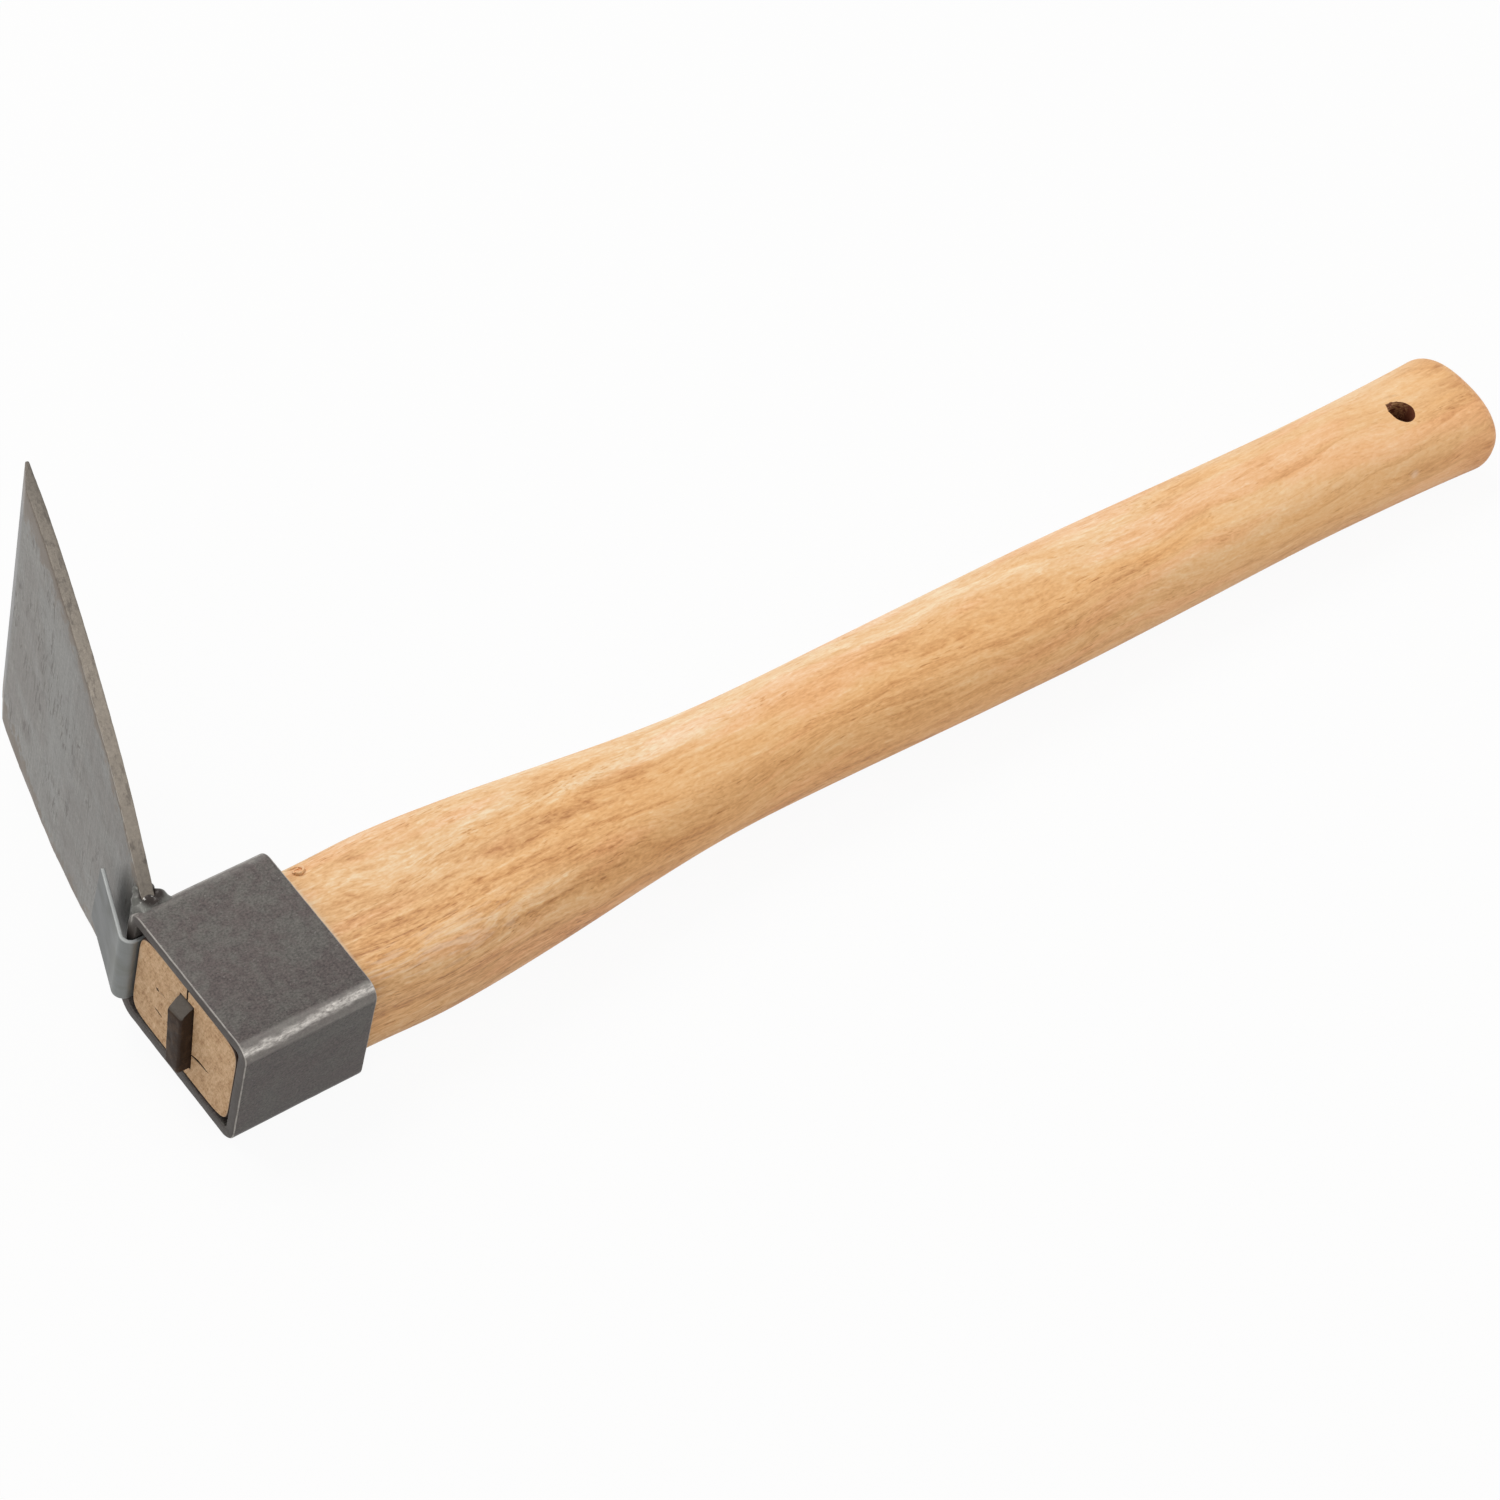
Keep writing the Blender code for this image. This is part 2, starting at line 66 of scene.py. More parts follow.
Number = Union["Signal", float, int]
Colour = tuple[float, float, float]
Triple = tuple[float, float, float]
Span = tuple[float, float]
Stops = tuple[tuple[float, Colour], ...]


class End(Enum):
    """Ends of a skin, by the place of their ring."""

    FIRST = 0
    LAST = -1


class Slot(Enum):
    """Material slots of the record."""

    BAND = "band_steel"
    BLADE = "blade_steel"
    WELD = "weld_steel"
    TONGUE = "tongue_steel"
    WEDGE = "wedge_steel"
    HANDLE = "handle_wood"


class Signal:
    """A socket of a node tree that can be used in Python expressions."""

    def __init__(self, graph: "NodeGraph", socket: bpy.types.NodeSocket | None) -> None:
        """Wrap one output socket of a graph."""
        self.graph = graph
        self.socket = socket

    def _math(self, operation: str, first: Number, second: Number = 0.0) -> "Signal":
        """Add one Math node.

        Args:
            operation: the Math node's operation.
            first: its first value.
            second: its second value.

        Returns:
            The node's output.
        """
        return self.graph.add("ShaderNodeMath", {"operation": operation}, {0: first, 1: second})

    def __add__(self, other: Number) -> "Signal":
        """Sum."""
        return self._math("ADD", self, other)

    __radd__ = __add__

    def __mul__(self, other: Number) -> "Signal":
        """Product."""
        return self._math("MULTIPLY", self, other)

    __rmul__ = __mul__

    def __sub__(self, other: Number) -> "Signal":
        """Difference."""
        return self._math("SUBTRACT", self, other)

    def __rsub__(self, other: Number) -> "Signal":
        """Difference, with the signal taken away."""
        return self._math("SUBTRACT", other, self)

    def __truediv__(self, other: Number) -> "Signal":
        """Quotient."""
        return self._math("DIVIDE", self, other)

    def __pow__(self, other: Number) -> "Signal":
        """Power."""
        return self._math("POWER", self, other)

    def __abs__(self) -> "Signal":
        """Size without its sign."""
        return self._math("ABSOLUTE", self)

    def most(self, other: Number) -> "Signal":
        """The larger of two."""
        return self._math("MAXIMUM", self, other)

    def root(self) -> "Signal":
        """Square root."""
        return self._math("SQRT", self)

    def swing(self, amount: Number) -> "Signal":
        """Noise as a change round zero, of this amount from its least to its most."""
        return (self - 0.5) * amount

    def step(self, low: float, high: float) -> "Signal":
        """Rise smoothly from 0 to 1 between two values, or fall where low is above high.

        Args:
            low: where the result is 0.
            high: where the result is 1.

        Returns:
            The share between them.
        """
        return self.graph.add("ShaderNodeMapRange", {"interpolation_type": "SMOOTHSTEP"},
                              {"Value": self, "From Min": low, "From Max": high})


def distance(*offsets: Signal) -> Signal:
    """Length of an offset.

    Args:
        *offsets: its parts along square axes.

    Returns:
        The length.
    """
    total = offsets[0] ** 2
    for offset in offsets[1:]:
        total = total + offset ** 2
    return total.root()


@dataclass(frozen=True)
class Pattern:
    """Smooth noise: the length of a patch along each axis in mm, and its character."""

    size: Triple
    seed: float
    detail: float = 2.0
    rough: float = 0.5
    twist: float = 0.0


class NodeGraph:
    """A node tree, and the one way in which its nodes are made."""

    def __init__(self, tree: bpy.types.NodeTree) -> None:
        """Take over a tree and empty it."""
        self.tree = tree
        tree.nodes.clear()

    def add(self, kind: str, settings: dict | None = None, inputs: dict | None = None,
            output: int | str = 0) -> Signal:
        """Add any node.

        Args:
            kind: the node's type.
            settings: its settings, set before its sockets. "stops" are a ramp's stops.
            inputs: values or signals by socket name or number.
            output: the socket to return.

        Returns:
            The chosen output, or an empty signal for a node that has none.
        """
        node = self.tree.nodes.new(kind)
        for key, value in (settings or {}).items():
            if key == "stops":
                self._set_stops(node.color_ramp, value)
            else:
                setattr(node, key, value)
        for key, value in (inputs or {}).items():
            self._feed(node.inputs[key], value)
        return Signal(self, node.outputs[output] if len(node.outputs) else None)

    def _feed(self, socket: bpy.types.NodeSocket, value: object) -> None:
        """Link a signal to a socket, or set its value.

        Args:
            socket: the input socket.
            value: a signal, a number, or a colour or vector.
        """
        if isinstance(value, Signal):
            self.tree.links.new(value.socket, socket)
        elif isinstance(value, (int, float)):
            socket.default_value = value
        elif socket.type == "RGBA":
            socket.default_value = (*value, 1.0)
        else:
            socket.default_value = tuple(value)

    @staticmethod
    def _set_stops(ramp: bpy.types.ColorRamp, stops: Stops) -> None:
        """Give a colour ramp its stops.

        Args:
            ramp: the ramp.
            stops: places and colours in order.
        """
        while len(ramp.elements) < len(stops):
            ramp.elements.new(1.0)
        for element, (place, colour) in zip(ramp.elements, stops):
            element.position = place
            element.color = (*colour, 1.0)

    def seen(self) -> Signal:
        """Tell the rays that show a surface from those that only light one.

        Returns:
            1 for camera, glossy and transmission rays.
        """
        camera, glossy, through = (
            self.add("ShaderNodeLightPath", output=name)
            for name in ("Is Camera Ray", "Is Glossy Ray", "Is Transmission Ray"))
        return camera.most(glossy).most(through)


class FinishGraph(NodeGraph):
    """A material's nodes, laid out in tool axes and in millimetres."""

    def __init__(self, name: str, tool: "ToolFrame") -> None:
        """Make an empty material.

        Args:
            name: the material's name.
            tool: the tool axes, in which every pattern is laid out.
        """
        self.material = bpy.data.materials.new(name)
        self.material.use_nodes = True
        super().__init__(self.material.node_tree)
        origin, turn, _ = tool.matrix.decompose()
        angles = tuple(turn.to_euler())
        self.place = self.add("ShaderNodeMapping", {"vector_type": "TEXTURE"},
                              {"Vector": self.add("ShaderNodeTexCoord", output="Object"),
                               "Location": origin, "Rotation": angles, "Scale": (MM, MM, MM)})
        self.facing = self.add("ShaderNodeMapping", {"vector_type": "TEXTURE"},
                               {"Vector": self.add("ShaderNodeTexCoord", output="Normal"),
                                "Rotation": angles})

    def vector(self, operation: str, first: object, second: object) -> Signal:
        """Add one Vector Math node.

        Args:
            operation: its operation.
            first: its first vector.
            second: its second vector.

        Returns:
            The vector that comes out.
        """
        return self.add("ShaderNodeVectorMath", {"operation": operation}, {0: first, 1: second})

    def parts(self, vector: Signal) -> tuple[Signal, Signal, Signal]:
        """Split a vector.

        Args:
            vector: the vector.

        Returns:
            Its three parts.
        """
        first = self.add("ShaderNodeSeparateXYZ", None, {0: vector})
        x, y, z = (Signal(self, socket) for socket in first.socket.node.outputs)
        return x, y, z

    def join(self, x: Number, y: Number, z: Number) -> Signal:
        """Make a vector of three numbers."""
        return self.add("ShaderNodeCombineXYZ", None, {0: x, 1: y, 2: z})

    def noise(self, place: Signal, pattern: Pattern) -> Signal:
        """Smooth noise, centred on 0.5.

        Args:
            place: position in mm.
            pattern: how the noise looks.

        Returns:
            The noise.
        """
        scaled = self.vector("DIVIDE", place, pattern.size)
        moved = self.vector("ADD", scaled, [pattern.seed * part for part in SEED_WAY])
        return self.add("ShaderNodeTexNoise", {"noise_dimensions": "3D"},
                        {"Vector": moved, "Scale": 1.0, "Detail": pattern.detail,
                         "Roughness": pattern.rough, "Distortion": pattern.twist})

    def colour(self, low: object, high: object, share: Number) -> Signal:
        """Mix two colours.

        Args:
            low: colour at 0.
            high: colour at 1.
            share: how much of the second.

        Returns:
            The mixed colour.
        """
        return self.add("ShaderNodeMix", {"data_type": "RGBA"}, {0: share, 6: low, 7: high}, 2)

    def ramp(self, share: Signal, stops: Stops) -> Signal:
        """Read a colour from a ramp.

        Args:
            share: place on the ramp.
            stops: places and colours in order.

        Returns:
            The colour there.
        """
        return self.add("ShaderNodeValToRGB", {"stops": stops}, {0: share})

    def tint(self, colour: Signal | Colour, light: Number) -> Signal:
        """Multiply a colour by a brightness."""
        return self.vector("MULTIPLY", colour, self.join(light, light, light))

    def cover(self, base: Signal, roughness: Number, metallic: Number, height: Signal,
              relief: float, specular: float = 0.5) -> bpy.types.Material:
        """Join the finish to its shader.

        Args:
            base: base colour.
            roughness: roughness.
            metallic: metallic share.
            height: height of the fine relief, in mm.
            relief: strength of the bump.
            specular: specular level, the same all over.

        Returns:
            The material.
        """
        bump = self.add("ShaderNodeBump", None,
                        {"Strength": relief, "Distance": MM, "Height": height})
        shader = self.add("ShaderNodeBsdfPrincipled", None,
                          {"Base Color": base, "Roughness": roughness, "Metallic": metallic,
                           "Specular IOR Level": specular, "Normal": bump})
        self.add("ShaderNodeOutputMaterial", None, {"Surface": shader})
        return self.material


@dataclass(frozen=True)
class Figure:
    """Places and layers of noise that the parts of the wood's finish share."""

    x: Signal
    y: Signal
    z: Signal
    grain: Signal
    late: Signal
    thread: Signal
    fibre: Signal
    fleck: Signal
    grit: Signal
    roughened: Signal
    pores: Signal


@dataclass(frozen=True)
class Hardwood:
    """Pale oiled hardwood, with its grain running along the handle."""

    handle: "Handle"
    tones: Stops = (
        (0.0, (0.45, 0.20, 0.075)), (0.27, (0.67, 0.355, 0.148)), (0.5, (0.81, 0.485, 0.230)),
        (0.72, (0.865, 0.585, 0.33)), (1.0, (0.93, 0.76, 0.53)))
    end_tones: Stops = (
        (0.0, (0.26, 0.125, 0.055)), (0.3, (0.46, 0.27, 0.14)), (0.55, (0.60, 0.385, 0.215)),
        (1.0, (0.76, 0.54, 0.34)))
    rose: Colour = (1.025, 0.975, 1.0)
    honey: Colour = (1.01, 0.94, 0.83)
    # Painted shade inside the kerf, the wedge seat and the cracks
    split: Colour = (0.035, 0.016, 0.009)
    # Drilling burn with painted shade on the hole's wall
    bore: Colour = (0.19, 0.06, 0.028)
    torn: Colour = (0.52, 0.28, 0.13)
    # Pale wood for wear, painted sheen and painted highlights
    rubbed_and_sheen: Colour = (0.96, 0.77, 0.58)

    # Growth rings round a pith outside the handle
    pith: Span = (26.0, 34.0)
    ring_width: float = 5.5
    grain_slope: float = 0.012
    grain_drift: float = 16.0
    wander_y: Pattern = Pattern((80, 30, 30), 3.0)
    wander_z: Pattern = Pattern((60, 24, 24), 11.0)
    wobble: Pattern = Pattern((50, 5, 5), 5.0)
    late_strength: Pattern = Pattern((50, 9, 9), 8.0, detail=1)

    # Broad zones, then threads, fibres and short curly flecks
    zones: Pattern = Pattern((60, 8, 8), 1.0)
    warmth: Pattern = Pattern((60, 8, 8), 2.0)
    patches: Pattern = Pattern((22, 5, 5), 19.0)
    thread: Pattern = Pattern((26, 1.7, 1.7), 6.0)
    fibre: Pattern = Pattern((8, 0.8, 0.8), 4.0, rough=0.6)
    fleck: Pattern = Pattern((3.0, 0.85, 0.85), 12.0, rough=0.6, twist=0.7)
    grit: Pattern = Pattern((1.3, 0.55, 0.55), 21.0, detail=1)

    # Open pores come as dark strokes in loose groups
    cluster: Pattern = Pattern((30, 4.2, 4.2), 9.0)
    dash: Pattern = Pattern((4.0, 0.45, 0.45), 13.0, detail=1)
    vein: Pattern = Pattern((24, 0.8, 0.8), 14.0, rough=0.6)

    # Cut ends show the rings and pores as spots
    spots: Pattern = Pattern((4, 0.75, 0.75), 16.0, rough=0.65, twist=0.5)
    blots: Pattern = Pattern((8, 3, 3), 17.0)
    streaks: Pattern = Pattern((8, 0.9, 4.5), 18.0, rough=0.6)
    streak_way: Span = (0.94, 0.33)
    pricks: Pattern = Pattern((9, 0.5, 0.5), 22.0, detail=1)

    # Where the shades change along the handle and round it
    neck: Span = (160, 70)
    coarse: Span = (170, 70)
    sanded: Span = (260, 350)
    upper_edge: Span = (-0.5, 4.0)
    waist: tuple[Span, Span] = ((80, 130), (280, 220))
    cream: tuple[Span, Span] = ((75, 140), (310, 210))
    butt: Span = (376, 398)
    ridge_at: Span = (-21.0, 15.2)
    ridge: Span = (115, 45)
    wear_and_sheen: Pattern = Pattern((12, 1.1, 1.1), 15.0, rough=0.6)
    scuff: Triple = (367.7, -17.8, 5.0)
    scuff_fade: Span = (2.2, 0.3)
    burn_and_shade: Span = (1.55, 0.05)
    ripped: Span = (3.05, 2.05)

    def material(self, tool: "ToolFrame") -> bpy.types.Material:
        """Dress the long sides, the cut ends, the kerf and the bored hole.

        Args:
            tool: the tool axes.

        Returns:
            The finish.
        """
        g = FinishGraph("oiled_hardwood", tool)
        f = self.figure(g)
        normal_x, _, normal_z = g.parts(g.facing)
        ends = abs(normal_x).step(0.72, 0.95)
        spots = g.noise(g.place, self.spots)
        mouth = f.x.step(3.0, 1.5)
        body = g.colour(self.long_side(g, f), self.cut_end(g, f, spots), ends * (0.3 + mouth * 0.7))

        # Kerf and drying cracks are painted dark inside, as painted shade on their walls
        shoulder = self.handle.band_depth / MM
        inside = f.x.step(0.33, 0.55) * f.x.step(shoulder, shoulder - 1)
        body = g.colour(body, self.split, inside * (1 - ends))
        body = self.bored(g, f, body, normal_z)

        height = f.fibre.swing(0.05) + f.fleck.swing(0.05) - f.pores * 0.06 \
            + f.thread.swing(0.05) + spots.swing(ends) * 0.1
        roughness = 0.52 + f.fibre.swing(0.2) + ends * 0.2 + f.pores * 0.1
        return g.cover(body, roughness, 0.0, height, 0.8, 0.28)

    def figure(self, g: FinishGraph) -> Figure:
        """Lay out the growth rings, the layers of fibre and the pores.

        Args:
            g: the finish's nodes.

        Returns:
            What the rest of the finish is made of.
        """
        x, y, z = g.parts(g.place)
        y_grain = y + g.noise(g.place, self.wander_y).swing(self.grain_drift) \
            + x * self.grain_slope
        z_grain = z + g.noise(g.place, self.wander_z).swing(self.grain_drift)
        grain = g.join(x, y_grain, z_grain)

        # A growth ring is dark on its late side
        radius = distance(y_grain - self.pith[0], z_grain - self.pith[1])
        turn = radius / self.ring_width + g.noise(grain, self.wobble) * 1.6
        phase = g.add("ShaderNodeMath", {"operation": "FRACT"}, {0: turn})
        late = phase.step(0.2, 0.93) * phase.step(1.0, 0.95)

        cluster = g.noise(grain, self.cluster).step(0.46, 0.66)
        dash = g.noise(grain, self.dash).step(0.60, 0.72)
        vein = g.noise(grain, self.vein).step(0.62, 0.70)
        pores = (dash * (0.2 + cluster * 0.8)).most(vein * (0.1 + cluster * 0.7))
        roughened = 1 + x.step(*self.coarse) * 0.25 - x.step(*self.sanded) * 0.22
        return Figure(x, y, z, grain, late, g.noise(grain, self.thread), g.noise(grain, self.fibre),
                      g.noise(grain, self.fleck), g.noise(g.place, self.grit), roughened, pores)

    def long_side(self, g: FinishGraph, f: Figure) -> Signal:
        """Colour of the handle's long sides.

        Args:
            g: the finish's nodes.
            f: the wood's figure.

        Returns:
            The colour.
        """
        x, y, z = f.x, f.y, f.z
        neck = x.step(*self.neck)
        zones = g.noise(f.grain, self.zones)
        fine = f.thread.swing(0.34 + neck * 0.26) + f.fibre.swing(0.44) + f.fleck.swing(0.56) \
            + f.grit.swing(0.30)
        late = f.late * g.noise(g.place, self.late_strength).step(0.38, 0.62)
        tone = 0.54 + zones.swing(0.42 + neck * 0.3) + g.noise(f.grain, self.patches).swing(0.34) \
            + fine * f.roughened - late * 0.16

        # The upper edge is creamy from waist to belly, and the wood below it is golden
        upper = (y + zones.swing(10)).step(*self.upper_edge)
        waist, cream = (x.step(*start) * x.step(*stop) for start, stop in (self.waist, self.cream))
        waist = waist * (1 - upper) * 0.45
        # Painted light: the y and z terms paint the upper side lighter, and the step from 150 to
        # 350 mm paints the butt half lighter
        tone = tone + (y * 0.0035 + z * 0.002 + x.step(150, 350) * 0.05 - x.step(*self.butt) * 0.21
                       + cream * upper * 0.20 - neck * 0.02 - waist * 0.08)
        side = g.ramp(tone - f.pores * f.roughened * 0.28, self.tones)
        warm = g.noise(f.grain, self.warmth)
        gold = warm.step(0.48, 0.34) * 0.5 + y.step(9, -12) * x.step(40, 110) * 0.55 + waist
        side = g.vector("MULTIPLY", side, g.colour(PLAIN, self.rose, warm.step(0.50, 0.64)))
        side = g.vector("MULTIPLY", side, g.colour(PLAIN, self.honey, gold))
        # Painted light: the -Y side above the middle is lightened a little
        side = g.tint(side, 1 + y.step(-3, -11) * z.step(-9, -1) * 0.05)

        # A ridge with wear and painted sheen runs on from the band's outer corner; the shoulder's
        # rim is a painted highlight
        corner = (y / self.ridge_at[0]) * (z / self.ridge_at[1])
        wear_and_sheen = g.noise(f.grain, self.wear_and_sheen).step(0.47, 0.62)
        ridge = corner.step(0.5, 0.72) * x.step(*self.ridge) * wear_and_sheen * 0.34
        shoulder = self.handle.band_depth / MM
        rim = x.step(shoulder + 1.6, shoulder + 0.5) * 0.5
        away = distance(*(axis - centre for axis, centre in zip((x, y, z), self.scuff)))
        scuffed = away.step(*self.scuff_fade) * (0.32 + f.grit * 0.45)
        return g.colour(side, self.rubbed_and_sheen, ridge.most(rim).most(scuffed))

    def cut_end(self, g: FinishGraph, f: Figure, spots: Signal) -> Signal:
        """Colour of the end grain.

        Args:
            g: the finish's nodes.
            f: the wood's figure.
            spots: noise of the spots.

        Returns:
            The colour.
        """
        c, s = self.streak_way
        streaks = g.noise(g.join(f.x, f.y * c + f.z * s, f.z * c - f.y * s), self.streaks)
        prick = g.noise(g.place, self.pricks).step(0.66, 0.74)
        tone = 0.60 + spots.swing(1.15) + g.noise(g.place, self.blots).swing(0.6) \
            + streaks.swing(0.85) - f.late * 0.1 - prick * 0.45
        return g.ramp(tone, self.end_tones)

    def bored(self, g: FinishGraph, f: Figure, body: Signal, normal_z: Signal) -> Signal:
        """Darken the hole's wall, partly as drilling burn and partly as painted shade, and the
        splinters torn at its upper rim.

        Args:
            g: the finish's nodes.
            f: the wood's figure.
            body: colour of the wood.
            normal_z: the surface's direction along Z.

        Returns:
            The colour with the hole.
        """
        hole_x, hole_y = (round(place / MM, 2) for place in self.handle.hole_centre())
        radius = self.handle.hole_diameter / 2 / MM
        away = distance(f.x - hole_x, f.y - hole_y)
        # Drilling burn and painted shade darken the hole's wall
        burn_and_shade = away.step(*(radius + reach for reach in self.burn_and_shade))
        body = g.colour(body, self.bore, burn_and_shade * abs(normal_z).step(0.9, 0.6))
        ripped = away.step(*(radius + reach for reach in self.ripped)) * f.z.step(13.0, 12.7) \
            * f.y.step(hole_y + 0.5, hole_y + 1.5) * f.z.step(0, 1)
        frays = g.colour(self.torn, self.bore, f.fibre.step(0.44, 0.58))
        return g.colour(body, frays, ripped * 0.9)


@dataclass(frozen=True)
class MillScale:
    """Dark scale of hot-rolled bar, burnished to bright steel on the bends, with a painted
    highlight along them.
    """

    band: "EyeBand"
    brown: Colour = (0.089, 0.070, 0.065)
    slate: Colour = (0.100, 0.092, 0.082)
    dark: Colour = (0.058, 0.048, 0.042)
    # Burnished steel with a painted highlight on the bends
    bright: Colour = (0.66, 0.62, 0.575)
    edge: Colour = (0.28, 0.27, 0.245)
    # Colour of the painted highlights along the rim and the fold line
    line: Colour = (0.50, 0.47, 0.43)
    blotches: Pattern = Pattern((11, 9, 9), 1.0, detail=3, rough=0.55)
    mottle: Pattern = Pattern((2.2, 2.2, 2.2), 2.0, rough=0.6)
    speck: Pattern = Pattern((0.62, 0.5, 0.5), 3.0, rough=0.7)
    drawn: Pattern = Pattern((9, 0.9, 0.9), 4.0, rough=0.6)
    sparks: Pattern = Pattern((1.3, 0.5, 0.5), 5.0, detail=3, rough=0.75)
    points: Pattern = Pattern((0.8, 0.6, 0.6), 6.0, detail=1)
    chips: Pattern = Pattern((1.6, 1.6, 1.6), 7.0, rough=0.6)
    fringe: Pattern = Pattern((3.4, 1.1, 1.1), 8.0, rough=0.6)
    bend_start: float = 0.6
    rim_start: float = 2.4

    def material(self, tool: "ToolFrame") -> bpy.types.Material:
        """Mottled scale with speckle, burnished bends with painted highlights, painted shade
        towards the poll and dark cut ends.

        Args:
            tool: the tool axes.

        Returns:
            The finish.
        """
        g = FinishGraph("mill_scale", tool)
        x, y, z = g.parts(g.place)
        blotch, mottle, speck, drawn = (
            g.noise(g.place, pattern)
            for pattern in (self.blotches, self.mottle, self.speck, self.drawn))
        base = g.colour(self.brown, self.slate, (blotch * 0.55 + mottle * 0.45).step(0.38, 0.62))
        # Painted shade: the scale is darker towards the poll, at -Y
        base = g.tint(base, 1 + speck.swing(2.1) + mottle.swing(0.75) + drawn.swing(0.25)
                      - y.step(4, -23) * 0.2)
        point = g.noise(g.place, self.points).step(0.70, 0.78)
        base = g.colour(base, self.edge, point * 0.4)
        wear_and_sheen = self.polish_and_highlight(g, x, y, z)
        base = self.cut_edges(g, g.colour(base, self.bright, wear_and_sheen), y, z)
        height = blotch.swing(0.05) + mottle.swing(0.05) + speck.swing(0.06)
        roughness = 0.52 + mottle.swing(0.25) - wear_and_sheen * 0.14 + speck.swing(0.15)
        return g.cover(base, roughness, 0.2 + wear_and_sheen * 0.6, height, 0.75, 0.4)

    def flats(self) -> Span:
        """Half lengths of the band's flats in Y and Z, in mm."""
        band = self.band
        return (band.length / 2 - band.bend) / MM, (band.height / 2 - band.bend) / MM

    def polish_and_highlight(self, g: FinishGraph, x: Signal, y: Signal, z: Signal) -> Signal:
        """Bends polished as the bar was folded, with a painted highlight along their crest, most of
        all the one at the poll.

        Args:
            g: the finish's nodes.
            x: place along the handle.
            y: place towards the blade's side.
            z: place square to both.

        Returns:
            How bright the steel is.
        """
        flat_y, flat_z = self.flats()
        round_y = (abs(y) - flat_y + self.bend_start).most(0.0)
        round_z = (abs(z) - flat_z + self.bend_start).most(0.0)
        bend = round_y * round_z * (2 / (self.band.bend / MM + 0.85) ** 2)
        poll = y.step(-flat_y + 1, -flat_y) * z.step(0, 4) * 0.8 + 0.2
        tilt = round_z - round_y - x.step(10, 26) * 1.1
        fringe = g.noise(g.place, self.fringe)
        crest = (abs(tilt) + fringe.swing(3.0)).step(2.2, 0.0) * bend.step(0.3, 0.6)
        spark = g.noise(g.place, self.sparks)
        glow = bend.step(0.15, 0.6) * 0.20 + crest * (0.54 + spark.swing(2.4)).most(0.04)
        return glow * poll

    def cut_edges(self, g: FinishGraph, base: Signal, y: Signal, z: Signal) -> Signal:
        """Dark cut ends, with a thin painted highlight along the outer rim and painted highlights
        along the bend beside the blade.

        Args:
            g: the finish's nodes.
            base: colour of the bar.
            y: place towards the blade's side.
            z: place square to the blade's side.

        Returns:
            The colour with its edges.
        """
        flat_y, flat_z = self.flats()
        turned = abs(g.parts(g.facing)[0])
        base = g.colour(base, self.dark, turned.step(0.7, 0.95) * 0.9)
        rim = turned.step(0.15, 0.4) * turned.step(0.97, 0.75)
        outer = (abs(z) - flat_z - self.rim_start).most(abs(y) - flat_y - self.rim_start)
        highlight_breaks = g.noise(g.place, self.chips).step(0.3, 0.56)
        clean = y.step(21.6, 18.5)
        # Painted highlight along the outer rim of the cut end, broken in places
        base = g.colour(base, self.line,
                        rim * outer.step(0.0, 0.8) * clean * (0.5 + highlight_breaks * 0.4) * 0.72)
        # Painted highlight along the bend and fold line beside the blade
        base = g.colour(base, self.edge, y.step(20.5, 22.2) * z.step(11, 15) * 0.4)
        fold_line = abs(y - 21.7).step(0.4, 0.1) * z.step(12, 14)
        return g.colour(base, self.line, fold_line * (highlight_breaks * 0.5))


@dataclass(frozen=True)
class PlateLayers:
    """Places on the plate and layers of noise that the parts of its finish share."""

    sheet: Signal
    along: Signal
    across: Signal
    front: Signal
    turned: Signal
    bevel: Signal
    scratch: Signal
    mark: Signal
    flank: Signal
    blotch: Signal
    cloud: Signal
    speck: Signal
    drawn: Signal
    rust: Signal


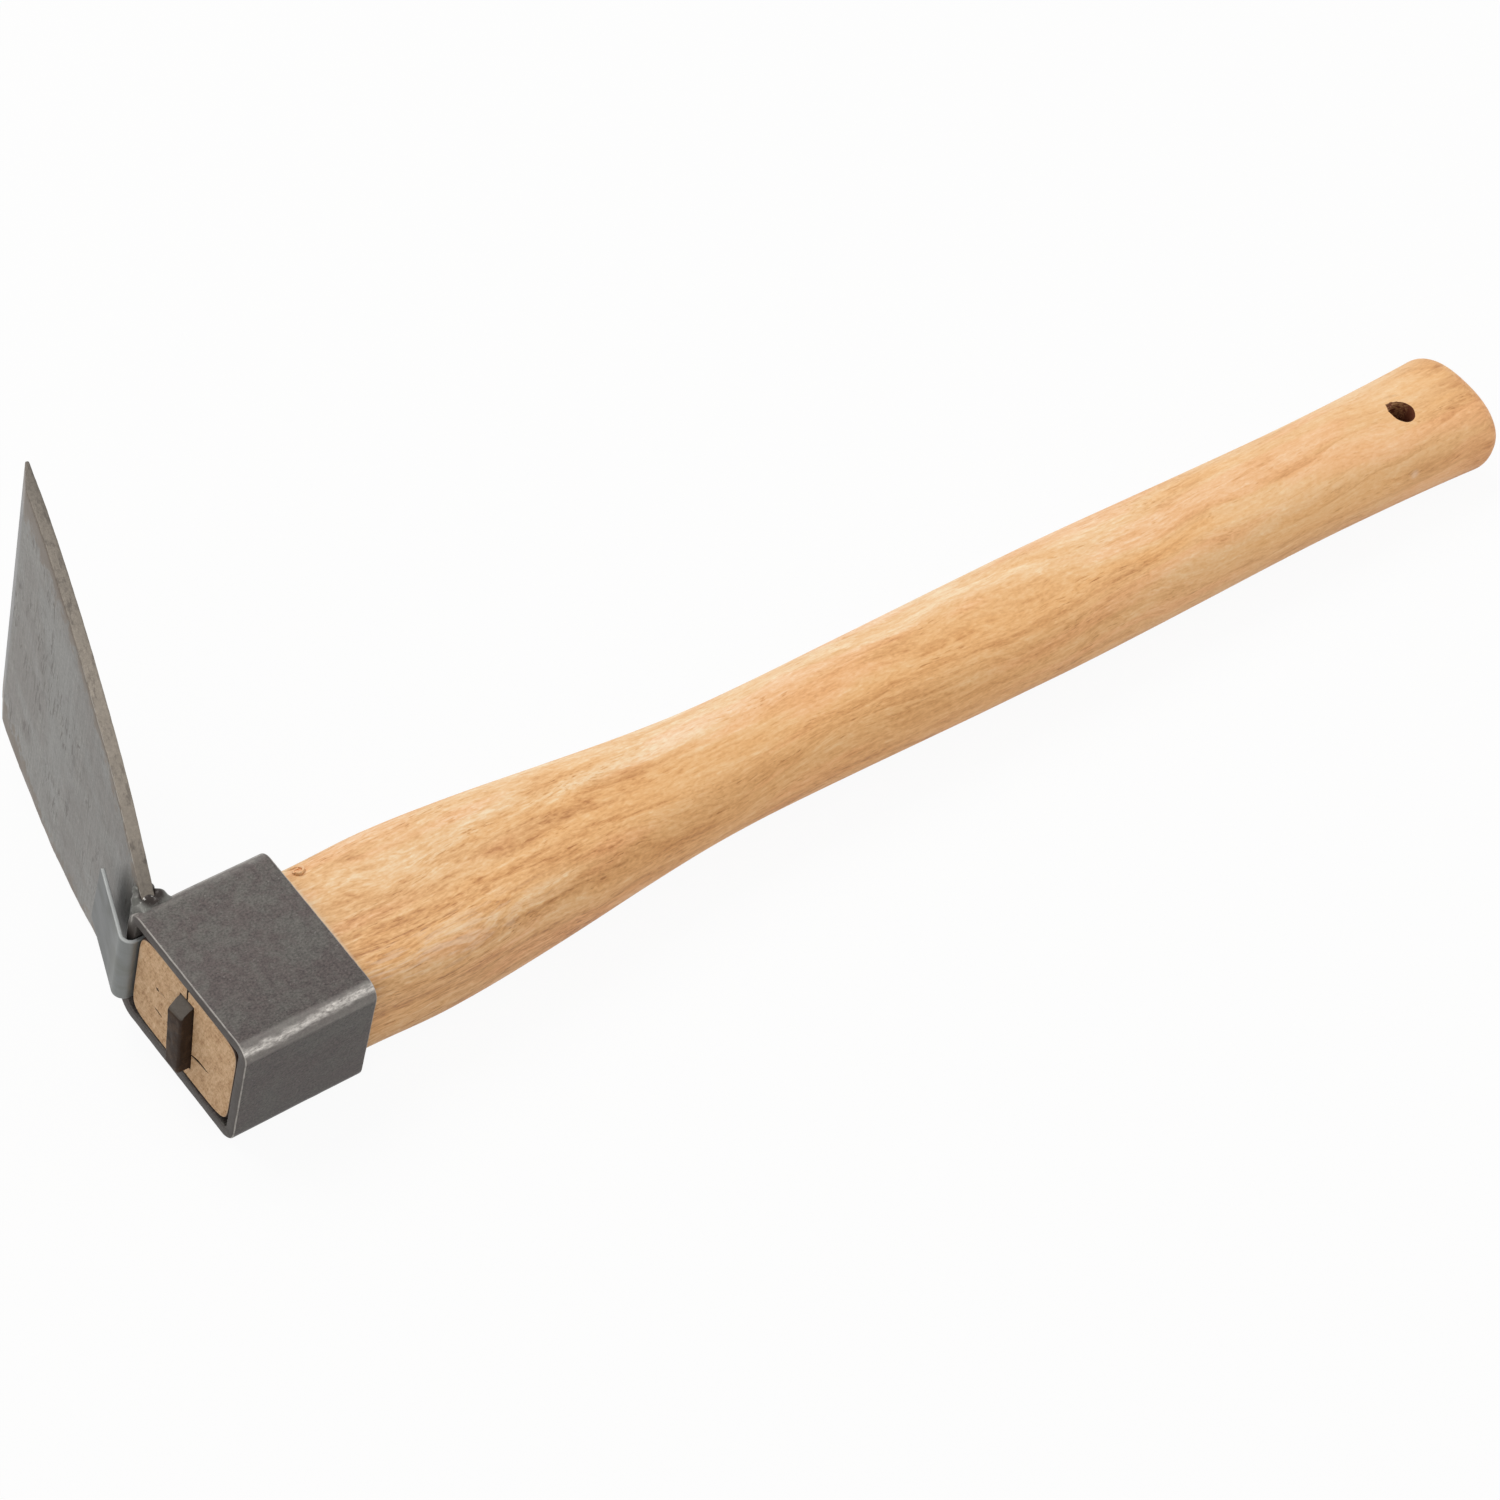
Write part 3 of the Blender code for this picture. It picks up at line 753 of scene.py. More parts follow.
@dataclass(frozen=True)
class RolledPlate:
    """Grey rolled plate, scratched across its width, with a ground edge."""

    blade: "Blade"
    grey: Colour = (0.208, 0.202, 0.187)
    pale: Colour = (0.25, 0.242, 0.224)
    brown: Colour = (0.180, 0.166, 0.150)
    # Colour of the painted highlight along the sides' front edge
    rim: Colour = (0.50, 0.48, 0.44)
    side: Colour = (0.27, 0.235, 0.195)
    ground: Colour = (0.118, 0.113, 0.109)
    scale: Colour = (0.158, 0.124, 0.094)
    pit: Colour = (0.085, 0.07, 0.06)
    blotches: Pattern = Pattern((26, 9, 14), 1.0, detail=3, rough=0.55)
    clouds: Pattern = Pattern((9, 6, 6), 2.0)
    speck: Pattern = Pattern((0.9, 0.9, 0.8), 3.0, rough=0.7)
    drawn: Pattern = Pattern((0.6, 1.0, 22), 4.0, detail=3, rough=0.6)
    scratches: Pattern = Pattern((0.3, 1.0, 26), 6.0, detail=1)
    crowds: Pattern = Pattern((16, 9, 14), 15.0, detail=1)
    marks: Pattern = Pattern((1.5, 1.5, 6.5), 8.0, rough=0.65, twist=1.0)
    stains: Pattern = Pattern((4.5, 3, 4.0), 16.0, rough=0.6)
    grit: Pattern = Pattern((0.35, 1.0, 7), 9.0, rough=0.6)
    frays: Pattern = Pattern((3.0, 1.4, 3.2), 14.0, detail=3, rough=0.65)
    rust: Pattern = Pattern((3.5, 1.4, 2), 10.0, detail=3, rough=0.65)
    edge_highlight: Pattern = Pattern((3.0, 2, 2), 12.0, rough=0.6)

    def material(self, tool: "ToolFrame") -> bpy.types.Material:
        """Blotched plate with scratches along its edge, pitted sides and a ground bevel.

        Args:
            tool: the tool axes.

        Returns:
            The finish.
        """
        g = FinishGraph("rolled_plate", tool)
        p = self.layers(g)
        grit = g.noise(p.sheet, self.grit)
        base = g.colour(self.rolled(g, p), g.tint(self.ground, 0.75 + grit * 0.5), p.bevel)
        base = self.sheared(g, p, self.frayed(g, p, base))
        height = p.blotch.swing(0.05) + p.speck.swing(0.04) + p.drawn.swing(0.05) \
            - p.scratch * 0.04 - p.mark * 0.06 + p.rust.swing(p.flank) * 0.25
        roughness = 0.45 + p.cloud.swing(0.2) + p.flank * 0.15 - p.bevel * 0.06 \
            + p.speck.swing(0.12)
        return g.cover(base, roughness, 0.55, height, 0.7)

    def length(self) -> int:
        """Length of the plate, in whole mm."""
        return round(self.blade.length / MM)

    def layers(self, g: FinishGraph) -> PlateLayers:
        """Lay the plate's places and layers of noise along its leaning faces.

        Args:
            g: the finish's nodes.

        Returns:
            What the rest of the finish is made of.
        """
        x, y, z = g.parts(g.place)
        normal_x, normal_y, normal_z = g.parts(g.facing)
        s, c = math.sin(self.blade.lean), math.cos(self.blade.lean)
        x, y = x - self.blade.setback / MM, y - self.blade.band_side / MM
        along = x * s + y * c
        sheet = g.join(along, x * c - y * s, z)
        front = normal_x * -c + normal_y * s
        bevel_from = self.length() - self.blade.grind / MM
        bevel = along.step(bevel_from - 0.4, bevel_from + 0.4) * front.step(0.3, 0.6)
        crowd = g.noise(sheet, self.crowds).step(0.50, 0.60) * 0.95 + 0.05
        mark = g.noise(sheet, self.marks).step(0.57, 0.62) * crowd
        scratch = g.noise(sheet, self.scratches).step(0.62, 0.74)
        noises = (g.noise(sheet, pattern) for pattern in
                  (self.blotches, self.clouds, self.speck, self.drawn, self.rust))
        return PlateLayers(sheet, along, z, front, abs(normal_z), bevel, scratch, mark,
                           abs(normal_z).step(0.45, 0.8), *noises)

    def rolled(self, g: FinishGraph, p: PlateLayers) -> Signal:
        """Colour of the rolled faces, with scratches, short marks and stains.

        Args:
            g: the finish's nodes.
            p: the plate's layers.

        Returns:
            The colour.
        """
        base = g.colour(self.brown, self.grey, p.blotch.step(0.36, 0.55))
        base = g.colour(base, self.pale, p.cloud.step(0.52, 0.7) * 0.6)
        base = g.tint(base, 1.06 + p.speck.swing(1.2) + p.drawn.swing(0.6)
                      - p.along.step(100, 40) * 0.12 - p.along.step(30, 8) * 0.12)
        stain = g.noise(p.sheet, self.stains).step(0.56, 0.68)
        for layer, share in ((p.scratch, 0.3), (p.mark, 0.8), (stain, 0.3)):
            base = g.colour(base, self.pit, layer * share)
        return base

    def frayed(self, g: FinishGraph, p: PlateLayers, base: Signal) -> Signal:
        """Let brown scale fray from the sheared sides onto the faces.

        Args:
            g: the finish's nodes.
            p: the plate's layers.
            base: colour of the faces.

        Returns:
            The colour with the scale.
        """
        length = self.length()
        share = p.along / length
        root, tip = self.blade.root_width / 2 / MM, self.blade.edge_width / 2 / MM
        half = root + share * (tip - root) + share * (1 - share) * (4 * self.blade.shoulder / MM)
        sparing = p.along.step(length - 55, length - 4) * 6
        fray = g.noise(p.sheet, self.frays).swing(18)
        frayed = (half - abs(p.across) + fray - sparing).step(4.2, 0.0)
        return g.colour(base, g.tint(self.scale, 0.7 + p.speck * 0.6), frayed * 0.95)

    def sheared(self, g: FinishGraph, p: PlateLayers, base: Signal) -> Signal:
        """Rusty sheared sides, with a painted highlight along their front edge near the root.

        Args:
            g: the finish's nodes.
            p: the plate's layers.
            base: colour of the faces.

        Returns:
            The colour with the sides.
        """
        shear = g.colour(self.side, self.pit, p.rust.step(0.5, 0.7) * 0.55)
        worked = 0.98 - p.along.step(42, 82) * 0.30 - p.along.step(85, 106) * 0.18 \
            - p.along.step(16, 3) * 0.28
        base = g.colour(base, g.tint(shear, worked + p.speck.swing(0.5)), p.flank)
        # Painted highlight along the sides' front edge, broken by noise
        edge_highlight = p.turned.step(0.18, 0.4) * p.turned.step(0.8, 0.5) * p.front.step(0.2, 0.5)
        wear_and_sheen = g.noise(p.sheet, self.edge_highlight).step(0.34, 0.6) * p.along.step(66, 44)
        return g.colour(base, self.rim, edge_highlight * wear_and_sheen * 0.75)


@dataclass(frozen=True)
class WeldMetal:
    """Weld metal, dark and oxidised, with painted glints."""

    oxide_and_shade: Colour = (0.030, 0.023, 0.020)
    skin: Colour = (0.128, 0.126, 0.114)
    # Colour of the painted glints
    bright: Colour = (0.62, 0.60, 0.57)
    crater: Span = (6.2, 23.9)
    crater_rim: Span = (2.2, 3.9)
    glint: Span = (4.6, 23.4)
    glint_fade: Span = (2.6, 0.8)
    lumps: Pattern = Pattern((2.2, 2.2, 2.2), 1.0, detail=3, rough=0.6)
    speck: Pattern = Pattern((0.7, 0.7, 0.7), 2.0, rough=0.7)
    points: Pattern = Pattern((1.1, 1.1, 1.1), 3.0, rough=0.6)

    def material(self, tool: "ToolFrame") -> bpy.types.Material:
        """Grey beads, black in the crater between them as oxidised metal with painted shade, with
        painted glints.

        Args:
            tool: the tool axes.

        Returns:
            The finish.
        """
        g = FinishGraph("weld_metal", tool)
        x, y, _ = g.parts(g.place)
        lump, speck, point = (g.noise(g.place, pattern)
                              for pattern in (self.lumps, self.speck, self.points))
        # Painted glints: bright points gathered round one place on the front bead
        near = distance(x - self.glint[0], y - self.glint[1]).step(*self.glint_fade)
        point = point.step(0.60, 0.70) * (near * 0.9 + 0.1)
        # Oxidised metal with painted shade blackens the crater between the beads
        away = distance(x - self.crater[0], y - self.crater[1])
        base = g.colour(self.oxide_and_shade, self.skin, (away + lump.swing(2)).step(*self.crater_rim))
        base = g.colour(base, self.bright, point * 0.8)
        base = g.tint(base, 0.8 + speck * 0.4)
        height = lump.swing(0.2) + speck.swing(0.08)
        return g.cover(base, 0.42 + speck.swing(0.25), 0.3 + point * 0.6, height, 0.8, 0.3)


@dataclass(frozen=True)
class SheetSteel:
    """Smooth cold-rolled sheet, bluish grey, with painted highlights on its sheared edges."""

    tongue: "LockingTongue"
    grey: Colour = (0.150, 0.157, 0.154)
    dull: Colour = (0.132, 0.136, 0.127)
    edge: Colour = (0.40, 0.41, 0.40)
    # From the top of the flap to the fold, painted shade turns to painted light
    shade: Span = (30, 20)
    rim: Span = (0.35, 0.05)
    patches: Pattern = Pattern((9, 9, 7), 1.0)
    drawn: Pattern = Pattern((12, 16, 0.7), 2.0)
    speck: Pattern = Pattern((0.8, 0.8, 0.8), 3.0, rough=0.6)

    def material(self, tool: "ToolFrame") -> bpy.types.Material:
        """Faintly drawn sheet with dull patches, painted shade at the flap's top, painted light
        towards the fold and painted highlights along its edges.

        Args:
            tool: the tool axes.

        Returns:
            The finish.
        """
        g = FinishGraph("sheet_steel", tool)
        _, y, z = g.parts(g.place)
        patch, drawn, speck = (g.noise(g.place, pattern)
                               for pattern in (self.patches, self.drawn, self.speck))
        base = g.colour(self.grey, self.dull, patch.step(0.45, 0.65))
        # Painted light: the flap is darker at its top and lighter towards the fold
        base = g.tint(base, 0.70 + y.step(*self.shade) * 0.64 + drawn.swing(0.22)
                      + speck.swing(0.12))
        half = self.tongue.width / 2 / MM
        # Painted highlight along both edges of the strip
        rim = abs(z - self.tongue.offset / MM).step(*(half - inset for inset in self.rim))
        base = g.colour(base, self.edge, rim * 0.75)
        height = patch.swing(0.05) + drawn.swing(0.03) + speck.swing(0.012)
        roughness = 0.46 + patch.swing(0.2) + rim * 0.1
        return g.cover(base, roughness, 0.45, height, 0.6)


@dataclass(frozen=True)
class ForgedSteel:
    """Black forged wedge with a hammered, lighter head."""

    black: Colour = (0.030, 0.016, 0.009)
    rust: Colour = (0.056, 0.032, 0.018)
    struck: Colour = (0.13, 0.115, 0.10)
    stains: Pattern = Pattern((2.5, 2.5, 3.5), 1.0, detail=3, rough=0.6)
    speck: Pattern = Pattern((0.6, 0.6, 0.6), 2.0, rough=0.7)

    def material(self, tool: "ToolFrame") -> bpy.types.Material:
        """Dark scale with brown stains, lighter on the struck chamfer.

        Args:
            tool: the tool axes.

        Returns:
            The finish.
        """
        g = FinishGraph("forged_steel", tool)
        _, _, z = g.parts(g.place)
        normal_x, _, normal_z = g.parts(g.facing)
        stain, speck = (g.noise(g.place, pattern) for pattern in (self.stains, self.speck))
        base = g.colour(self.black, self.rust, stain.step(0.46, 0.66))
        chamfer = normal_z.step(0.35, 0.6) * normal_x.step(0.1, -0.25) * z.step(4, 6.5)
        base = g.colour(base, self.struck, chamfer * 0.85)
        base = g.tint(base, 0.75 + speck * 0.5)
        height = stain.swing(0.2) + speck.swing(0.06)
        return g.cover(base, 0.55 + speck.swing(0.2), 0.0, height, 0.7, 0.14)


@dataclass(frozen=True)
class Unevenness:
    """Smooth, seeded unevenness of a hand-made surface, with its patch size in mm."""

    seed: int
    patch: Triple
    lattice: int = 24

    def at(self, points: np.ndarray) -> np.ndarray:
        """Read the unevenness at some points.

        Args:
            points: rows of x, y, z in metres.

        Returns:
            A value from about -1 to 1 for each point.
        """
        values = np.random.default_rng(self.seed).uniform(-1, 1, (self.lattice,) * 3)
        scaled = points / (np.array(self.patch) * MM) + self.lattice * 8
        cell = np.floor(scaled).astype(int)
        share = scaled - cell
        share = share * share * (3 - 2 * share)
        total = np.zeros(len(points))
        for corner in np.ndindex(2, 2, 2):
            index = (cell + corner) % self.lattice
            weight = np.where(np.array(corner) == 1, share, 1 - share).prod(axis=1)
            total += weight * values[index[:, 0], index[:, 1], index[:, 2]]
        return total


@dataclass
class ToolFrame:
    """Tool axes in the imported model: origin, directions and the matrix that joins them."""

    matrix: Matrix = field(init=False)

    def __post_init__(self) -> None:
        """Read the directions from the mounts and the origin from the eye band."""
        axes = {mount["name"]: Vector(mount["axis"]) for mount in frame["record"]["mounts"]}
        up = axes["eye_side"].normalized()
        side = -axes["eye_poll"]
        side = (side - up * side.dot(up)).normalized()
        turn = Matrix((side.cross(up), side, up)).transposed()
        corners = np.array([v.co for v in frame["nodes"]["eye_band"].data.vertices])
        local = corners @ np.array(turn)
        low, high = local.min(axis=0), local.max(axis=0)
        origin = Vector((low[0], (low[1] + high[1]) / 2, (low[2] + high[2]) / 2))
        self.matrix = Matrix.Translation(turn @ origin) @ turn.to_4x4()

    def point(self, place: Sequence[float]) -> Vector:
        """World position of a place in tool axes."""
        return self.matrix @ Vector(place)

    def direction(self, way: Sequence[float]) -> Vector:
        """World direction of a way in tool axes."""
        return self.matrix.to_3x3() @ Vector(way)


def blend(start: float, end: float, share: float) -> float:
    """Go from one value to another with no slope at either."""
    share = min(max(share, 0.0), 1.0)
    return start + (end - start) * share * share * (3 - 2 * share)


def spread(ring: np.ndarray, count: int) -> np.ndarray:
    """Space the points of a closed ring evenly along it.

    Args:
        ring: points of the ring, without a repeated end.
        count: how many points to return.

    Returns:
        The evenly spaced points.
    """
    closed = np.vstack([ring, ring[:1]])
    steps = np.linalg.norm(np.diff(closed, axis=0), axis=1)
    travel = np.concatenate([[0.0], np.cumsum(steps)])
    wanted = np.linspace(0, travel[-1], count, endpoint=False)
    return np.stack([np.interp(wanted, travel, closed[:, k]) for k in range(closed.shape[1])], 1)


def outward(points: np.ndarray, centre_y: float, core: float) -> np.ndarray:
    """Directions away from a line along X.

    Args:
        points: rows of x, y, z.
        centre_y: the line's place in Y.
        core: distance from the line within which the directions shrink to nothing.

    Returns:
        A direction for each point.
    """
    ways = points - np.array([0.0, centre_y, 0.0])
    ways[:, 0] = 0
    return ways / np.maximum(np.linalg.norm(ways, axis=1, keepdims=True), core)


def corner_arcs(width: float, height: float, radii: Sequence[float],
                steps: int) -> list[tuple[np.ndarray, np.ndarray]]:
    """Rounded corners of a rectangle, in turn from the one where both axes are positive.

    Args:
        width: size along the first axis.
        height: size along the second axis.
        radii: the four radii.
        steps: segments of each corner.

    Returns:
        The points of each corner, and the outward direction at each point.
    """
    arcs = []
    corners = ((1, 1), (-1, 1), (-1, -1), (1, -1))
    for quarter, ((side_a, side_b), radius) in enumerate(zip(corners, radii)):
        turn = np.radians(90 * quarter + 90 * np.arange(steps + 1) / steps)
        ways = np.stack([np.cos(turn), np.sin(turn)], 1)
        centre = np.array([side_a * (width / 2 - radius), side_b * (height / 2 - radius)])
        arcs.append((centre + radius * ways, ways))
    return arcs


def rounded_bar(width: float, height: float, radius: float, steps: int,
                spacing: float) -> np.ndarray:
    """Outline of a bar with rounded edges, mirrored about its first and last points.

    Args:
        width: size along the first axis.
        height: size along the second axis.
        radius: radius of the edges.
        steps: segments of each edge.
        spacing: longest step on the flats.

    Returns:
        Points from the middle of the +width side, round by +height and back.
    """
    arcs = [arc for arc, _ in corner_arcs(width, height, (radius,) * 4, steps)]
    points = []
    for arc, after in zip(arcs, arcs[1:] + arcs[:1]):
        points.extend(arc[:-1])
        gap = after[0] - arc[-1]
        cuts = max(2, 2 * math.ceil(np.linalg.norm(gap) / spacing / 2))
        points.extend(arc[-1] + gap * k / cuts for k in range(cuts))
    middle = max(1, math.ceil((height - 2 * radius) / spacing / 2))
    return np.roll(np.array(points), middle, axis=0)


class Skin:
    """A mesh made of rings, and what can be done to it before it becomes a piece."""

    def __init__(self, rings: Iterable[np.ndarray], closed: bool = False) -> None:
        """Join rings of equal point counts.

        Args:
            rings: rings of x, y, z points.
            closed: whether the last ring joins the first.
        """
        stack = np.array(list(rings))
        count, self.around = stack.shape[:2]
        self.points = stack.reshape(-1, 3)
        self.index = np.arange(count * self.around).reshape(count, self.around)
        near = self.index if closed else self.index[:-1]
        far = np.roll(self.index, -1, axis=0) if closed else self.index[1:]
        self.faces: list[tuple[int, ...]] = []
        self._join(near, far)

    def _join(self, near: np.ndarray, far: np.ndarray) -> None:
        """Join rings of points to the rings after them.

        Args:
            near: point numbers of the rings.
            far: point numbers of the rings after them.
        """
        quads = np.stack([near, np.roll(near, -1, -1), np.roll(far, -1, -1), far], -1)
        self.faces += [tuple(quad) for quad in quads.reshape(-1, 4).tolist()]

    def close_end(self, end: End, rings: int = 0) -> "Skin":
        """Fill an end ring, with smaller rings towards its middle.

        Args:
            end: which end.
            rings: how many smaller rings the filling has.

        Returns:
            The skin itself.
        """
        loop = self.index[end.value]
        rim = self.points[loop]
        middle = rim.mean(axis=0)
        for k in range(1, rings + 1):
            inner = np.arange(len(self.points), len(self.points) + self.around)
            shrunk = middle + (rim - middle) * (1 - k / (rings + 1))
            self.points = np.vstack([self.points, shrunk])
            self._join(loop, inner)
            loop = inner
        self.faces.append(tuple(loop.tolist()))
        return self

    def close_strip(self, end: End) -> "Skin":
        """Fill an end ring that is mirrored about its first point, with a strip across it.

        Args:
            end: which end.

        Returns:
            The skin itself.
        """
        loop = self.index[end.value].tolist()
        for k in range(self.around // 2):
            corners = (loop[k], loop[k + 1], loop[-(k + 1) % self.around], loop[-k % self.around])
            unique = tuple(dict.fromkeys(corners))
            if len(unique) > 2:
                self.faces.append(unique)
        return self

    def fill_ends(self, first: int = 0, last: int = 0) -> "Skin":
        """Fill both ends, each with a number of smaller rings."""
        return self.close_end(End.FIRST, first).close_end(End.LAST, last)

    def strip_ends(self) -> "Skin":
        """Fill both ends with strips."""
        return self.close_strip(End.FIRST).close_strip(End.LAST)

    def mesh(self, name: str) -> bpy.types.Mesh:
        """Make the mesh, still in tool axes.

        Args:
            name: its name.

        Returns:
            The mesh.
        """
        mesh = bpy.data.meshes.new(name)
        mesh.from_pydata(self.points.tolist(), [], self.faces)
        return mesh

    def piece(self, name: str, tool: ToolFrame, sharp: float = SHARP) -> bpy.types.Object:
        """Make the object.

        Args:
            name: its name.
            tool: the tool axes.
            sharp: edges with a larger angle, in degrees, stay sharp.

        Returns:
            The object, in its place.
        """
        return place_mesh(self.mesh(name), tool, sharp)


def shade(mesh: bpy.types.Mesh, sharp: float) -> None:
    """Shade a mesh smooth, apart from edges with a larger angle, in degrees."""
    mesh.shade_smooth()
    mesh.set_sharp_from_angle(angle=math.radians(sharp))


def place_mesh(mesh: bpy.types.Mesh, tool: ToolFrame, sharp: float = SHARP) -> bpy.types.Object:
    """Make an object of a mesh in tool axes, with its faces pointing out.

    Args:
        mesh: the mesh, whose name the object takes.
        tool: the tool axes.
        sharp: edges with a larger angle, in degrees, stay sharp.

    Returns:
        The object.
    """
    bm = bmesh.new()
    bm.from_mesh(mesh)
    bmesh.ops.recalc_face_normals(bm, faces=bm.faces[:])
    bm.transform(tool.matrix)
    bm.to_mesh(mesh)
    bm.free()
    shade(mesh, sharp)
    piece = bpy.data.objects.new(mesh.name, mesh)
    bpy.context.scene.collection.objects.link(piece)
    return piece


def bake(piece: bpy.types.Object, sharp: float = SHARP) -> None:
    """Apply an object's modifiers to its mesh.

    Args:
        piece: the object.
        sharp: edges with a larger angle, in degrees, stay sharp.
    """
    bpy.context.view_layer.update()
    graph = bpy.context.evaluated_depsgraph_get()
    mesh = bpy.data.meshes.new_from_object(piece.evaluated_get(graph))
    piece.modifiers.clear()
    old = piece.data
    piece.data = mesh
    mesh.name = piece.name
    bpy.data.meshes.remove(old)
    shade(mesh, sharp)


def carve(piece: bpy.types.Object, cutters: Sequence[bpy.types.Object]) -> None:
    """Cut shapes out of a piece, and remove them.

    Args:
        piece: what is cut.
        cutters: closed shapes.
    """
    for cutter in cutters:
        step = piece.modifiers.new(cutter.name, "BOOLEAN")
        step.operation = "DIFFERENCE"
        step.solver = "EXACT"
        step.object = cutter
    bake(piece)
    for cutter in cutters:
        bpy.data.objects.remove(cutter, do_unlink=True)


def settle(piece: bpy.types.Object, slot: Slot, material: bpy.types.Material,
           *nodes: str) -> bpy.types.Object:
    """Dress a piece, fix it to the hoe and let it stand for its solid.

    Args:
        piece: the piece.
        slot: the record's material slot; not used.
        material: its finish.
        *nodes: the solids that it stands for.

    Returns:
        The piece.
    """
    piece.data.materials.clear()
    piece.data.materials.append(material)
    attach(piece, BODY)
    if nodes:
        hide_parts(*nodes)
    LOG.info("%s: %d faces, stands for %s", piece.name, len(piece.data.polygons),
             ", ".join(nodes) or "no solid")
    return piece


@dataclass
class EyeBand:
    """Flat bar bent into a rectangular eye."""

    tool: ToolFrame
    depth: float = 35.0 * MM
    length: float = 46.0 * MM
    height: float = 34.0 * MM
    wall: float = 3.0 * MM
    bend: float = 4.0 * MM
    last_bend: float = 6.2 * MM
    bend_steps: int = 14
    edge_round: float = 0.45 * MM
    edge_steps: int = 4
    spacing: float = 1.1 * MM
    waviness: float = 0.045 * MM
    sunk: float = 0.6
    lumps: Unevenness = Unevenness(11, (9, 7, 7))
    dimples: Unevenness = Unevenness(12, (2.5, 2.5, 2.5))
    nicks: Unevenness = Unevenness(13, (3, 3, 3))

    def path(self) -> tuple[np.ndarray, np.ndarray]:
        """Outer outline of the eye.

        Returns:
            Points in Y and Z, and the outward direction at each.
        """
        radii = (self.bend, self.bend, self.bend, self.last_bend)
        arcs = corner_arcs(self.length, self.height, radii, self.bend_steps)
        points, ways = [], []
        for (arc, out), (after, _) in zip(arcs, arcs[1:] + arcs[:1]):
            gap = after[0] - arc[-1]
            cuts = math.ceil(np.linalg.norm(gap) / self.spacing)
            points += [*arc, *(arc[-1] + gap * k / cuts for k in range(1, cuts))]
            ways += [*out, *([out[-1]] * (cuts - 1))]
        return np.array(points), np.array(ways)

    def build(self) -> bpy.types.Object:
        """Sweep the bar's section round the eye and roughen it a little.

        Returns:
            The band.
        """
        points, ways = self.path()
        section = rounded_bar(self.depth, self.wall, self.edge_round, self.edge_steps,
                              self.spacing)
        across, through = section[:, 0], section[:, 1]
        inward = (self.wall / 2 - through)[:, None]
        skin = Skin([np.column_stack([across + self.depth / 2, point - inward * way])
                     for point, way in zip(points, ways)], closed=True)
        p = skin.points
        bumps = self.lumps.at(p) + 0.5 * self.dimples.at(p)
        push = (bumps - self.sunk) * self.waviness * np.tile(np.sign(through), len(points))
        p[:, 1:] += np.repeat(ways, len(section), axis=0) * push[:, None]
        cut = np.sign(across) * (abs(across) > self.depth / 2 - self.edge_round / 2)
        p[:, 0] -= np.tile(cut, len(points)) * abs(self.nicks.at(p)) * 2 * self.waviness
        band = skin.piece("bent_eye_band", self.tool)
        return settle(band, Slot.BAND, MillScale(self).material(self.tool), "eye_band")


